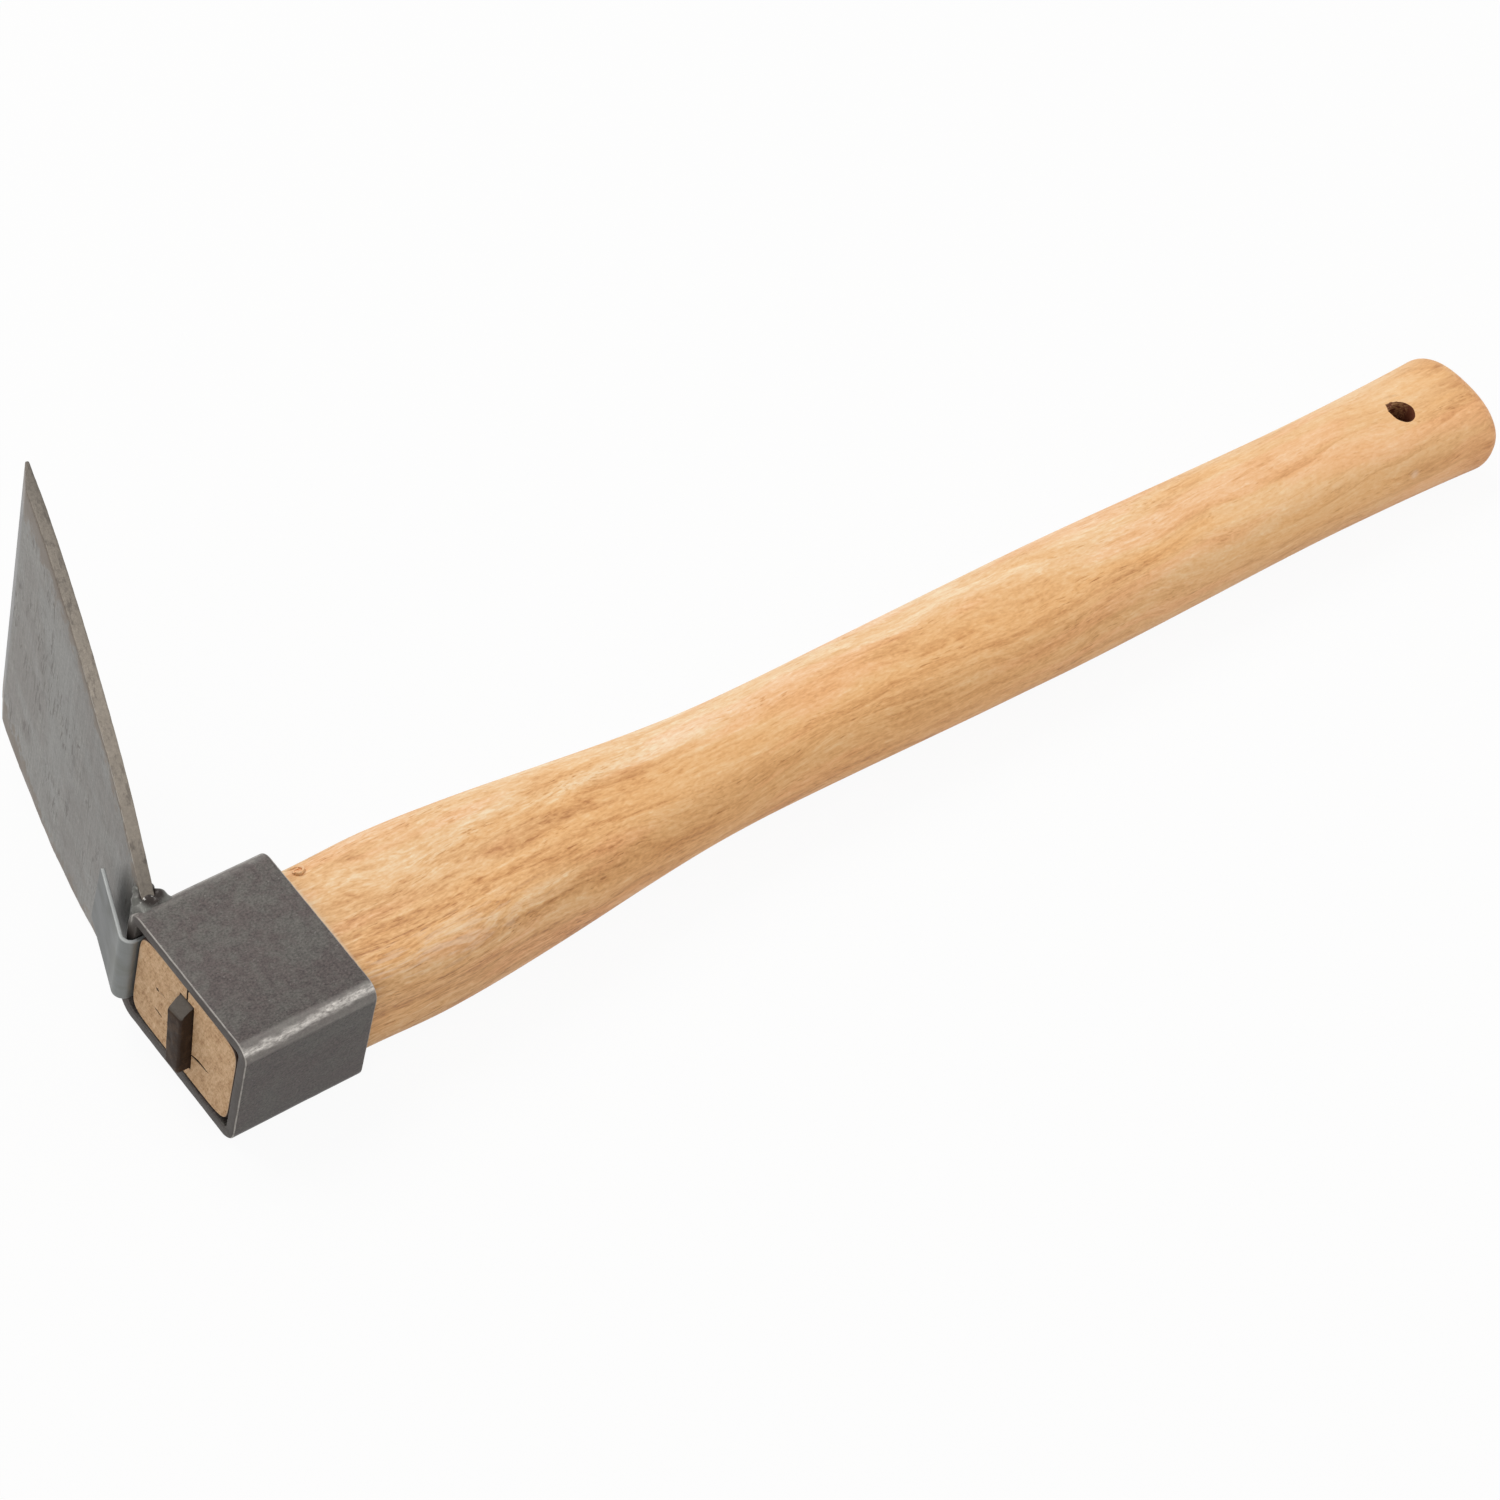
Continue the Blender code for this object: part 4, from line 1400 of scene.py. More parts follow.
@dataclass
class Blade:
    """Flared plate with convex sides, ground to an edge on its front face."""

    tool: ToolFrame
    length: float = 110.96 * MM
    root_width: float = 34.0 * MM
    edge_width: float = 82.0 * MM
    shoulder: float = 7.5 * MM
    thickness: float = 3.3 * MM
    edge_thickness: float = 0.7 * MM
    grind: float = 9.5 * MM
    corner: float = 1.6 * MM
    corner_steps: int = 6
    ease: float = 0.32 * MM
    ease_steps: int = 4
    lean: float = math.radians(17.0)
    setback: float = 3.4 * MM
    seat: float = 23.3 * MM
    seat_reach: float = 20.0 * MM
    band_side: float = 23.0 * MM
    spacing: float = 1.1 * MM
    sheared: float = 0.7 * MM
    calm: float = 6.0 * MM
    side_wear: Triple = (0.12 * MM, 0.10 * MM, 0.08 * MM)
    face_wear: Triple = (0.10 * MM, 0.06 * MM, 0.10 * MM)
    warp: float = 0.12 * MM
    sunk: float = 0.6
    nicks: Unevenness = Unevenness(21, (1.3, 9, 9))
    chips: Unevenness = Unevenness(22, (4.5, 9, 9))
    waves: Unevenness = Unevenness(23, (24, 99, 18))

    def half_width(self, v: float) -> float:
        """Half width at a distance from the root.

        Args:
            v: distance along the blade.

        Returns:
            The half width, with the corners rounded.
        """
        root, tip = self.root_width / 2, self.edge_width / 2
        straight = self.length - self.corner
        share = min(v, straight) / self.length
        width = root + (tip - root) * share + 4 * self.shoulder * share * (1 - share)
        past = max(0.0, v - straight)
        return width - self.corner + math.sqrt(max(0.0, self.corner ** 2 - past ** 2))

    def resized(self, places: np.ndarray, full: float, half: float, radius: float) -> np.ndarray:
        """Bring places across the widest section to another size.

        Args:
            places: places along one axis of the widest section.
            full: that section's half size.
            half: half size wanted.
            radius: edge radius wanted.

        Returns:
            The new places.
        """
        flat = full - self.ease
        beyond = places - np.clip(places, -flat, flat)
        return np.clip(places / flat, -1, 1) * (half - radius) + beyond * radius / self.ease

    def ring(self, v: float) -> np.ndarray:
        """Section across the blade, behind its front face.

        Args:
            v: distance along the blade.

        Returns:
            Points in blade axes: along, through, across.
        """
        slope = (self.thickness - self.edge_thickness) / self.grind
        front = max(0.0, v - (self.length - self.grind)) * slope
        thick = self.thickness - front
        radius = min(self.ease, thick * 0.3)
        widest = rounded_bar(self.edge_width, self.thickness, self.ease, self.ease_steps,
                             self.spacing)
        across = self.resized(widest[:, 0], self.edge_width / 2, self.half_width(v), radius)
        depth = self.resized(widest[:, 1], self.thickness / 2, thick / 2, radius)
        return np.stack([np.full(len(widest), v), front + thick / 2 + depth, across], 1)

    def wear(self, p: np.ndarray, half: np.ndarray) -> None:
        """Nick the sheared sides and warp the plate, but leave the edge straight.

        Args:
            p: the blade's points in blade axes, which are changed.
            half: half width of the blade at each point.
        """
        inner = np.clip((self.length - p[:, 0]) / self.calm, 0, 1)
        flank = np.clip((np.abs(p[:, 2]) - half + self.sheared) / self.sheared, 0, 1) * inner
        nick, chip = self.nicks.at(p), self.chips.at(p)
        facing = np.sign(p[:, 1] - self.thickness / 2)
        for axis, side, depth in ((2, np.sign(p[:, 2]), self.side_wear),
                                  (1, facing, self.face_wear)):
            p[:, axis] -= side * flank * (depth[0] + depth[1] * nick + depth[2] * chip)
        p[:, 1] += (self.waves.at(p) - self.sunk) * self.warp * inner

    def build(self) -> bpy.types.Object:
        """Loft the blade from its seat on the band to its edge.

        Returns:
            The blade.
        """
        s, c = math.sin(self.lean), math.cos(self.lean)
        straight = self.length - self.corner
        stations = list(np.linspace(0, straight, round(straight / self.spacing)))
        stations += [straight + self.corner * math.sin(math.radians(90 * k / self.corner_steps))
                     for k in range(1, self.corner_steps + 1)]
        rings = [self.ring(v) for v in stations]
        for v, ring in zip(stations, rings):
            fade = max(0.0, 1 - v / self.seat_reach)
            ring[:, 0] += fade * (self.seat - self.band_side + ring[:, 1] * s) / c
        skin = Skin(rings).strip_ends()
        p = skin.points
        self.wear(p, np.array([self.half_width(v) for v in stations]).repeat(skin.around))
        x = self.setback + p[:, 0] * s + p[:, 1] * c
        y = self.band_side + p[:, 0] * c - p[:, 1] * s
        skin.points = np.stack([x, y, p[:, 2]], 1)
        blade = skin.piece("ground_blade", self.tool, 30.0)
        return settle(blade, Slot.BLADE, RolledPlate(self).material(self.tool), "blade")


@dataclass
class WeldBead:
    """A fillet weld between the blade's root and the band. Places in its section are in mm."""

    tool: ToolFrame
    name: str
    node: str
    seed: int
    corner: Span
    band_toe: Span
    blade_toe: Span
    bulge: float
    lumps: float
    drops: tuple[tuple[float, float, float, float], ...]
    melting: int = 24
    half_length: float = 16.7 * MM
    band_half: float = 17.0 * MM
    bend: float = 4.0 * MM
    corner_sag: float = 0.3 * MM
    toe_sag: float = 0.2 * MM
    crest_sag: float = 1.2 * MM
    toe_draw: float = 0.25
    pitch: float = 2.3 * MM
    ripple: float = 0.14 * MM
    grain: float = 0.24 * MM
    smoothing: float = 0.6
    stations: int = 90
    arc_points: int = 9

    @classmethod
    def front(cls, tool: ToolFrame) -> "WeldBead":
        """The bead before the blade, with coarse drops heaped at its ends.

        Args:
            tool: the tool axes.

        Returns:
            The bead, with the place and radius of each drop in mm.
        """
        return cls(tool, "front_weld_bead", "weld_front", 81, (4.4, 22.6), (0.9, 22.6),
                   (5.0, 28.0), 0.5 * MM, 0.3 * MM,
                   ((1.8, 21.2, 13.8, 1.7), (2.6, 22.6, 14.8, 1.9), (3.4, 24.6, 15.8, 1.8),
                    (4.4, 26.4, 16.4, 1.4), (4.4, 21.8, 14.6, 2.2), (5.2, 23.6, 15.6, 2.0),
                    (6.8, 25.9, 16.2, 1.8), (6.6, 22.0, 14.8, 2.2)))

    @classmethod
    def rear(cls, tool: ToolFrame) -> "WeldBead":
        """The smoother, hollow bead behind the blade.

        Args:
            tool: the tool axes.

        Returns:
            The bead, with the place and radius of each drop in mm.
        """
        return cls(tool, "rear_weld_bead", "weld_rear", 82, (6.4, 22.6), (11.8, 22.8),
                   (8.2, 27.0), -0.8 * MM, 0.1 * MM,
                   ((7.6, 21.6, 14.4, 2.1), (8.2, 23.6, 15.2, 1.9), (9.4, 21.4, 14.0, 2.0)),
                   melting=60)

    def section(self, z: float, shift: float) -> np.ndarray:
        """Section of the bead, which sinks where the band bends away under it.

        Args:
            z: distance from the middle of the blade.
            shift: unevenness there.

        Returns:
            The corner, then an arc from the toe on the band to the toe on the blade.
        """
        corner, low, high = (np.array(place) * MM
                             for place in (self.corner, self.band_toe, self.blade_toe))
        past = max(0.0, abs(z) - (self.band_half - self.bend))
        sink = self.bend - math.sqrt(max(0.0, self.bend ** 2 - past ** 2))
        fade = (past / self.bend) ** 2
        corner[1] -= sink + self.corner_sag * fade
        low += np.array([(corner[0] - low[0]) * self.toe_draw * fade, -sink - self.toe_sag * fade])
        high[1] -= self.crest_sag * fade
        chord = high - low
        out = np.array([chord[1], -chord[0]]) / np.linalg.norm(chord)
        if out @ (low - corner) < 0:
            out = -out
        wave = self.ripple * math.cos(2 * math.pi * z / self.pitch + shift * 2.0)
        share = np.linspace(0, 1, self.arc_points)[:, None]
        arch = 4 * share * (1 - share)
        arc = low + chord * share + out * arch * (self.bulge + wave + shift * self.lumps)
        flat = np.vstack([corner, arc])
        return np.column_stack([flat, np.full(len(flat), z)])

    def add_drops(self, mesh: bpy.types.Mesh) -> None:
        """Add drops of metal, each a little out of round, at both ends of the bead.

        Args:
            mesh: the bead's mesh, which is changed.
        """
        bm = bmesh.new()
        bm.from_mesh(mesh)
        bmesh.ops.recalc_face_normals(bm, faces=bm.faces[:])
        random = np.random.default_rng(self.seed)
        for side in (1, -1):
            for x, y, z, size in self.drops:
                stretch = random.uniform(0.85, 1.15, 3)
                middle = Vector((x * MM, y * MM, z * MM * side))
                drop = bmesh.ops.create_icosphere(bm, subdivisions=2, radius=size * MM)
                for vert in drop["verts"]:
                    vert.co = Vector(a * b for a, b in zip(vert.co, stretch)) + middle
        bm.to_mesh(mesh)
        bm.free()

    def build(self, metal: bpy.types.Material) -> bpy.types.Object:
        """Draw the bead, add its drops, and melt them together.

        Args:
            metal: the weld's finish.

        Returns:
            The bead.
        """
        along = np.linspace(-self.half_length, self.half_length, self.stations)
        line = np.column_stack([along * 0, along * 0, along])
        shifts = Unevenness(self.seed, (1, 1, 2.4)).at(line)
        skin = Skin([self.section(float(z), float(shift)) for z, shift in zip(along, shifts)])
        mesh = skin.fill_ends().mesh(self.name)
        self.add_drops(mesh)
        bead = place_mesh(mesh, self.tool)
        melt = bead.modifiers.new("melt", "REMESH")
        melt.mode = "VOXEL"
        melt.voxel_size = self.grain
        even = bead.modifiers.new("even", "SMOOTH")
        even.factor = self.smoothing
        even.iterations = self.melting
        bake(bead, 180.0)
        return settle(bead, Slot.WELD, metal, self.node)


@dataclass
class LockingTongue:
    """Strip of sheet between wood and band, folded over the mouth and up the blade."""

    tool: ToolFrame
    sheet: float = 1.0 * MM
    width: float = 20.8 * MM
    offset: float = -0.8 * MM
    reach: float = 26.0 * MM
    reach_steps: int = 16
    face: float = 19.7 * MM
    fold: float = 1.7 * MM
    fold_steps: int = 22
    flap: float = 20.0 * MM
    flap_steps: int = 26
    lean: float = math.radians(21.4)
    end_skew: float = 1.0 * MM
    corner: float = 0.8 * MM
    corner_drop: float = 0.35 * MM
    edge_round: float = 0.22 * MM
    edge_steps: int = 3
    spacing: float = 0.8 * MM
    bow: Unevenness = Unevenness(31, (14, 14, 12))
    bow_depth: float = 0.12
    bow_mean: float = 0.10
    bow_reach: float = 8.0 * MM

    def build(self) -> bpy.types.Object:
        """Sweep the strip along its fold, and bow its flap a little.

        Returns:
            The tongue.
        """
        leg = self.face - self.sheet / 2
        radius = self.fold + self.sheet / 2
        section = rounded_bar(self.width, self.sheet, self.edge_round, self.edge_steps,
                              self.spacing)
        across, depth = section[:, 0], section[:, 1]

        def ring(x: float | np.ndarray, y: float | np.ndarray, way: Vector) -> np.ndarray:
            """Ring round a place of the strip's middle, with the direction out of its sheet."""
            return np.stack([x + depth * way.x, y + depth * way.y, across + self.offset], 1)

        rings = [ring(x, leg, Vector((0, -1)))
                 for x in np.linspace(self.reach, 0, self.reach_steps, endpoint=False)]
        for turn in np.linspace(0, math.radians(90) + self.lean, self.fold_steps):
            way = Vector((-math.sin(turn), -math.cos(turn)))
            rings.append(ring(radius * way.x, leg + radius + radius * way.y, way))
        start = Vector((radius * way.x, leg + radius + radius * way.y))
        up = Vector((math.sin(self.lean), math.cos(self.lean)))
        length = self.flap - self.end_skew * across / (self.width / 2)
        past = np.clip((np.abs(across) - self.width / 2 + self.corner) / self.corner, 0, 1)
        for share in np.linspace(0, 1, self.flap_steps)[1:]:
            travel = length * share
            if share == 1:
                travel = travel - past ** 2 * self.corner_drop
            rings.append(ring(start.x + up.x * travel, start.y + up.y * travel, way))
        skin = Skin(rings).strip_ends()
        p = skin.points
        free = np.clip((p[:, 1] - self.face - 2 * self.fold) / self.bow_reach, 0, 1)
        p[:, 0] -= free * (self.bow_depth * self.bow.at(p) + self.bow_mean) * MM
        tongue = skin.piece("folded_tongue", self.tool)
        return settle(tongue, Slot.TONGUE, SheetSteel(self).material(self.tool),
                      "locking_tongue")


@dataclass
class Wedge:
    """Tapered steel wedge, driven askew across the tenon's end."""

    tool: ToolFrame
    head: float = 5.2 * MM
    tip: float = 1.4 * MM
    length: float = 27.0 * MM
    width: float = 20.5 * MM
    proud: float = 3.2 * MM
    chamfer: float = 2.6 * MM
    chamfer_run: float = 3.0 * MM
    centre_y: float = -1.4 * MM
    skew: float = math.radians(-5.5)
    ease: float = 0.6 * MM
    ease_steps: int = 5
    least_ease: float = 0.15 * MM
    spacing: float = 0.55 * MM
    sides: int = 96
    stations: int = 40
    head_rings: int = 6
    core: float = 0.5 * MM
    dents: Unevenness = Unevenness(41, (3, 2.2, 3.2))
    pits: Unevenness = Unevenness(42, (1.1, 1.1, 1.1))

    # How far the sides' dents are sunk, their depth and the pits' depth, then the struck
    # head's mean, dents and pits. Depths are in mm
    side_wear: Triple = (-0.6, 0.12, 0.04)
    head_wear: Triple = (0.12, 0.14, 0.06)
    struck_from: float = 0.8 * MM
    struck_fade: float = 0.4 * MM

    def section(self, x: float, inset: float) -> np.ndarray:
        """Cross-section of the wedge.

        Args:
            x: distance from the mouth plane.
            inset: how far its outline is drawn in.

        Returns:
            Points in tool axes.
        """
        share = max(0.0, x) / (self.length - self.proud)
        thick = self.head + (self.tip - self.head) * share
        cut = self.chamfer * min(max((self.chamfer_run - self.proud - x) / self.chamfer_run, 0.0),
                                 1.0)
        radius = max(min(self.ease, thick * 0.35) - inset * 0.4, self.least_ease)
        outline = rounded_bar(thick - 2 * inset, self.width - cut - 2 * inset, radius, 4,
                              self.spacing)
        ring = spread(outline, self.sides)
        y, z = ring[:, 0], ring[:, 1] - cut / 2
        c, s = math.cos(self.skew), math.sin(self.skew)
        return np.stack([np.full(self.sides, x), self.centre_y + y * c - z * s, y * s + z * c], 1)

    def build(self) -> bpy.types.Object:
        """Loft the wedge from its struck head to its tip, and dent it.

        Returns:
            The wedge.
        """
        rings = []
        for k in range(self.ease_steps, -1, -1):
            turn = math.radians(90 * k / self.ease_steps)
            rings.append(self.section(-self.proud + self.ease * (1 - math.sin(turn)),
                                      self.ease * (1 - math.cos(turn))))
        body = np.linspace(-self.proud + self.ease, self.length - self.proud, self.stations)
        rings += [self.section(float(x), 0.0) for x in body[1:]]
        skin = Skin(rings).fill_ends(self.head_rings)
        p = skin.points
        dents, pits = self.dents.at(p), self.pits.at(p)
        mean, dent, pit = self.side_wear
        push = (dents + mean) * dent + pits * pit
        p += outward(p, self.centre_y, self.core) * push[:, None] * MM
        mean, dent, pit = self.head_wear
        struck = np.clip((-p[:, 0] - self.proud + self.struck_from) / self.struck_fade, 0, 1)
        p[:, 0] += struck * (mean + dents * dent + pits * pit) * MM
        wedge = skin.piece("driven_wedge", self.tool)
        return settle(wedge, Slot.WEDGE, ForgedSteel().material(self.tool), "wedge")


@dataclass
class Handle:
    """Shaped wooden handle: tenon with kerf and wedge seat, waist, belly, butt and hole."""

    tool: ToolFrame
    length: float = 400.0 * MM
    band_depth: float = 35.3 * MM
    step: float = 1.0 * MM
    tenon_width: float = 38.1 * MM
    tenon_height: float = 27.4 * MM
    tenon_centre: float = -0.65 * MM
    recess: float = 0.3 * MM

    # Distance from the mouth, width and height
    neck: Triple = (60 * MM, 42 * MM, 30.8 * MM)
    waist: Triple = (160 * MM, 30.4 * MM, 27.2 * MM)
    belly: Triple = (252 * MM, 33 * MM, 27.2 * MM)
    grip: Triple = (344 * MM, 30.2 * MM, 27.4 * MM)
    butt_width: float = 34.8 * MM
    butt_height: float = 24.6 * MM
    butt_round: float = 6.5 * MM
    butt_steps: int = 12
    axis_drop: float = 1.7 * MM

    # Exponents of the section, which is squarest at the mouth
    mouth_square: float = 8.0
    shoulder_square: float = 5.0
    grip_square: float = 2.3

    # Steps along the handle and the inset at each, at the mouth's and the shoulder's edge
    mouth_edge: tuple[Span, ...] = ((0.0, 0.5 * MM), (0.2 * MM, 0.2 * MM), (0.5 * MM, 0.0))
    shoulder_edge: tuple[Span, ...] = ((0.0, 0.35 * MM), (0.1 * MM, 0.12 * MM), (0.35 * MM, 0.0))
    tenon_from: float = 3.0 * MM
    tenon_steps: int = 12
    spacing: float = 2.4 * MM
    outline: int = 1440
    sides: int = 148
    mouth_rings: int = 14
    butt_rings: int = 12

    hole_diameter: float = 6.9 * MM
    hole_from_butt: float = 27.5 * MM
    hole_offset: float = -1.2 * MM
    hole_sides: int = 56
    hole_rings: int = 41
    hole_reach: float = 20.0 * MM
    hole_wander: float = 0.11 * MM
    hole_wall: Unevenness = Unevenness(61, (0.5, 0.5, 3.2))
    kerf: float = 0.7 * MM
    kerf_depth: float = 31.0 * MM
    fit: float = 0.25 * MM
    overrun: float = 5.0 * MM

    # Soft facets and ripples of the long sides: their depths and their mean are in mm
    facets: Unevenness = Unevenness(51, (46, 13, 13))
    ripples: Unevenness = Unevenness(52, (17, 5, 5))
    shaping: Triple = (0.16, 0.05, -0.06)
    shaping_from: float = 2.0 * MM
    shaping_fade: float = 12.0 * MM
    core: float = 1.0 * MM

    # Name, points in Y and Z, widest gap and depth, in mm
    cracks: tuple[tuple[str, tuple[Span, ...], float, float], ...] = (
        ("crack_blade_side", ((10.4, -4.6), (8.5, -4.8), (6.6, -5.1)), 0.6, 1.6),
        ("crack_poll_side", ((-3.6, -5.5), (-7.3, -4.3), (-11.6, -4.1)), 0.8, 2.0),
        ("worm_dot", ((9.3, 2.15), (10.5, 2.05)), 0.95, 1.6),
        ("worm_line", ((9.6, 2.15), (6.6, 2.4)), 0.32, 0.8))
    crack_taper: float = 0.925
    crack_points: int = 9
    crack_tip: float = 0.06
    crack_belly: float = 0.7

    # Outline of the sliver torn from the hole's rim, in radii of the hole, and its depths
    sliver: tuple[Span, ...] = (
        (0.5, 0.75), (0.32, 1.06), (0.06, 1.08), (-0.2, 1.26), (-0.42, 1.2), (-0.76, 1.24),
        (-0.9, 0.86), (-1.08, 0.56), (-1.06, 0.1), (-0.7, 0.2), (-0.1, 0.5))
    sliver_depths: tuple[Span, ...] = ((-1.6 * MM, 0.72), (-0.5 * MM, 0.95), (2 * MM, 1.05))

    def size(self, x: float) -> tuple[float, float, float, float]:
        """Shape of the handle at a distance from the mouth.

        Args:
            x: the distance.

        Returns:
            Centre, half width, half height and squareness.
        """
        shoulder = (self.band_depth, self.tenon_width + 2 * self.step,
                    self.tenon_height + 2 * self.step)
        stations = (shoulder, self.neck, self.waist, self.belly, self.grip)
        width, height = shoulder[1:]
        for (x0, w0, h0), (x1, w1, h1) in zip(stations[:-1], stations[1:]):
            if x > x0:
                width = blend(w0, w1, (x - x0) / (x1 - x0))
                height = blend(h0, h1, (x - x0) / (x1 - x0))
        grip_x, grip_width, grip_height = self.grip
        if x > grip_x:
            flare = ((x - grip_x) / (self.length - grip_x)) ** 2
            width = grip_width + (self.butt_width - grip_width) * flare
            height = grip_height + (self.butt_height - grip_height) * flare
        past = max(0.0, x - self.band_depth)
        drop = self.axis_drop * min(past / (self.length - self.band_depth), 1.0)
        if x < self.band_depth:
            square = blend(self.mouth_square, self.shoulder_square, x / self.band_depth)
        else:
            left = max(0.0, 1 - past / (self.waist[0] - self.band_depth))
            square = self.grip_square + (self.shoulder_square - self.grip_square) * left ** 2
        return self.tenon_centre - drop, width / 2, height / 2, square

    def ring(self, x: float, inset: float = 0.0) -> np.ndarray:
        """Ring of evenly spaced points square to the handle.

        Args:
            x: distance from the mouth.
            inset: how far the ring is drawn in.

        Returns:
            The ring.
        """
        centre, half_width, half_height, square = self.size(x)
        turn = np.linspace(0, 2 * math.pi, self.outline, endpoint=False)
        y, z = (np.copysign(np.abs(part) ** (2 / square), part)
                for part in (np.cos(turn), np.sin(turn)))
        flat = np.stack([centre + (half_width - inset) * y, (half_height - inset) * z], 1)
        return np.column_stack([np.full(self.sides, x), spread(flat, self.sides)])

    def build(self) -> bpy.types.Object:
        """Loft the handle, shape it by hand, then saw, seat and bore it.

        Returns:
            The handle.
        """
        rings = [self.ring(self.recess + x, self.step + inset) for x, inset in self.mouth_edge]
        rings += [self.ring(float(x), self.step)
                  for x in np.linspace(self.tenon_from, self.band_depth, self.tenon_steps)]
        rings += [self.ring(self.band_depth + x, inset) for x, inset in self.shoulder_edge]
        last = self.length - self.butt_round
        count = round((last - self.band_depth) / self.spacing)
        rings += [self.ring(self.band_depth + (last - self.band_depth) * k / count)
                  for k in range(1, count + 1)]
        for k in range(1, self.butt_steps + 1):
            turn = math.radians(90 * k / self.butt_steps)
            rings.append(self.ring(last + self.butt_round * math.sin(turn),
                                   self.butt_round * (1 - math.cos(turn))))
        skin = Skin(rings).fill_ends(self.mouth_rings, self.butt_rings)

        # The spokeshave and sander leave soft facets, fading towards the band
        p = skin.points
        past = p[:, 0] - self.band_depth - self.shaping_from
        facet, ripple, mean = self.shaping
        push = facet * self.facets.at(p) + ripple * self.ripples.at(p) + mean
        push = push * np.clip(past / self.shaping_fade, 0, 1)
        p += outward(p, self.tenon_centre, self.core) * push[:, None] * MM
        handle = skin.piece("shaped_handle", self.tool)
        carve(handle, self.cutters())
        return settle(handle, Slot.HANDLE, Hardwood(self).material(self.tool), "handle")

    def cutters(self) -> list[bpy.types.Object]:
        """Shapes to cut out: kerf, wedge seat, hole and drying cracks.

        Returns:
            The cutters.
        """
        wedge = Wedge(self.tool)
        half = self.kerf / 2
        kerf = self.slit("kerf", wedge, ((-self.overrun, half), (self.kerf_depth, half)),
                         0.55 * self.tenon_height + 2 * MM)
        head, tip = wedge.head / 2 + self.fit, wedge.tip / 2 + self.fit
        deep = wedge.length - wedge.proud + self.fit
        seat = self.slit("wedge_seat", wedge, ((-self.overrun, head), (0.0, head), (deep, tip)),
                         wedge.width / 2 + self.fit)
        return [kerf, seat, self.drill(), self.torn_rim(),
                *(self.crack(*crack) for crack in self.cracks)]

    def slit(self, name: str, wedge: Wedge, stations: Sequence[Span],
             half_z: float) -> bpy.types.Object:
        """Slit across the tenon's end, as skew as the wedge.

        Args:
            name: its name.
            wedge: the wedge.
            stations: distances from the mouth, and half the thickness at each.
            half_z: half the width.

        Returns:
            The cutter.
        """
        skew = Matrix.Rotation(wedge.skew, 3, "X")
        shift = Vector((0, wedge.centre_y, 0))
        rings = [np.array([skew @ Vector((x, side_y * half_y, side_z * half_z)) + shift
                           for side_y, side_z in ((-1, -1), (1, -1), (1, 1), (-1, 1))])
                 for x, half_y in stations]
        return Skin(rings).fill_ends().piece(name, self.tool)

    def crack(self, name: str, path: Sequence[Span], width: float,
              depth: float) -> bpy.types.Object:
        """Thin split in the end grain, widest in its middle.

        Args:
            name: its name.
            path: points in Y and Z, in mm.
            width: widest gap, in mm.
            depth: how deep it runs, in mm.

        Returns:
            The cutter.
        """
        points = np.array(path)
        way = points[-1] - points[0]
        way = np.array([-way[1], way[0]]) / np.linalg.norm(way)
        shares = np.linspace(0, 1, self.crack_points)
        travel = np.linspace(0, 1, len(points))
        middle = np.stack([np.interp(shares, travel, points[:, k]) for k in range(2)], 1)
        belly = np.sin(shares * math.pi) ** self.crack_belly
        gap = way * ((self.crack_tip + belly) * width / 2)[:, None]
        outline = np.vstack([middle + gap, (middle - gap)[::-1]])
        centre = outline.mean(axis=0)
        face = self.recess / MM
        rings = []
        for x, share in ((-1.0, 1.0), (face, 1.0), (face + depth, self.crack_taper)):
            flat = centre + (outline - centre) * share
            rings.append(np.column_stack([np.full(len(flat), x), flat]) * MM)
        return Skin(rings).fill_ends().piece(name, self.tool)

    def hole_centre(self) -> Span:
        """Place of the hole's axis in X and Y."""
        x = self.length - self.hole_from_butt
        return x, self.size(x)[0] + self.hole_offset

    def drill(self) -> bpy.types.Object:
        """Drilled hole, a little out of round.

        Returns:
            The cutter.
        """
        x0, y0 = self.hole_centre()
        turn = np.linspace(0, 2 * math.pi, self.hole_sides, endpoint=False)
        c, s = np.cos(turn), np.sin(turn)
        rings = []
        for z in np.linspace(-self.hole_reach, self.hole_reach, self.hole_rings):
            wall = self.hole_wall.at(np.stack([c * MM, s * MM, np.full(len(turn), z)], 1))
            radius = self.hole_diameter / 2 + wall * self.hole_wander
            rings.append(np.stack([x0 + radius * c, y0 + radius * s, np.full(len(turn), z)], 1))
        return Skin(rings).fill_ends().piece("drill", self.tool)

    def torn_rim(self) -> bpy.types.Object:
        """Sliver torn out of the hole's upper rim, along the grain.

        Returns:
            The cutter.
        """
        centre = np.array(self.hole_centre())
        top = self.size(centre[0])[2]
        outline = np.array(self.sliver) * (self.hole_diameter / 2)
        rings = [np.column_stack([centre + outline * share, np.full(len(outline), top + depth)])
                 for depth, share in self.sliver_depths]
        return Skin(rings).fill_ends().piece("torn_rim", self.tool)


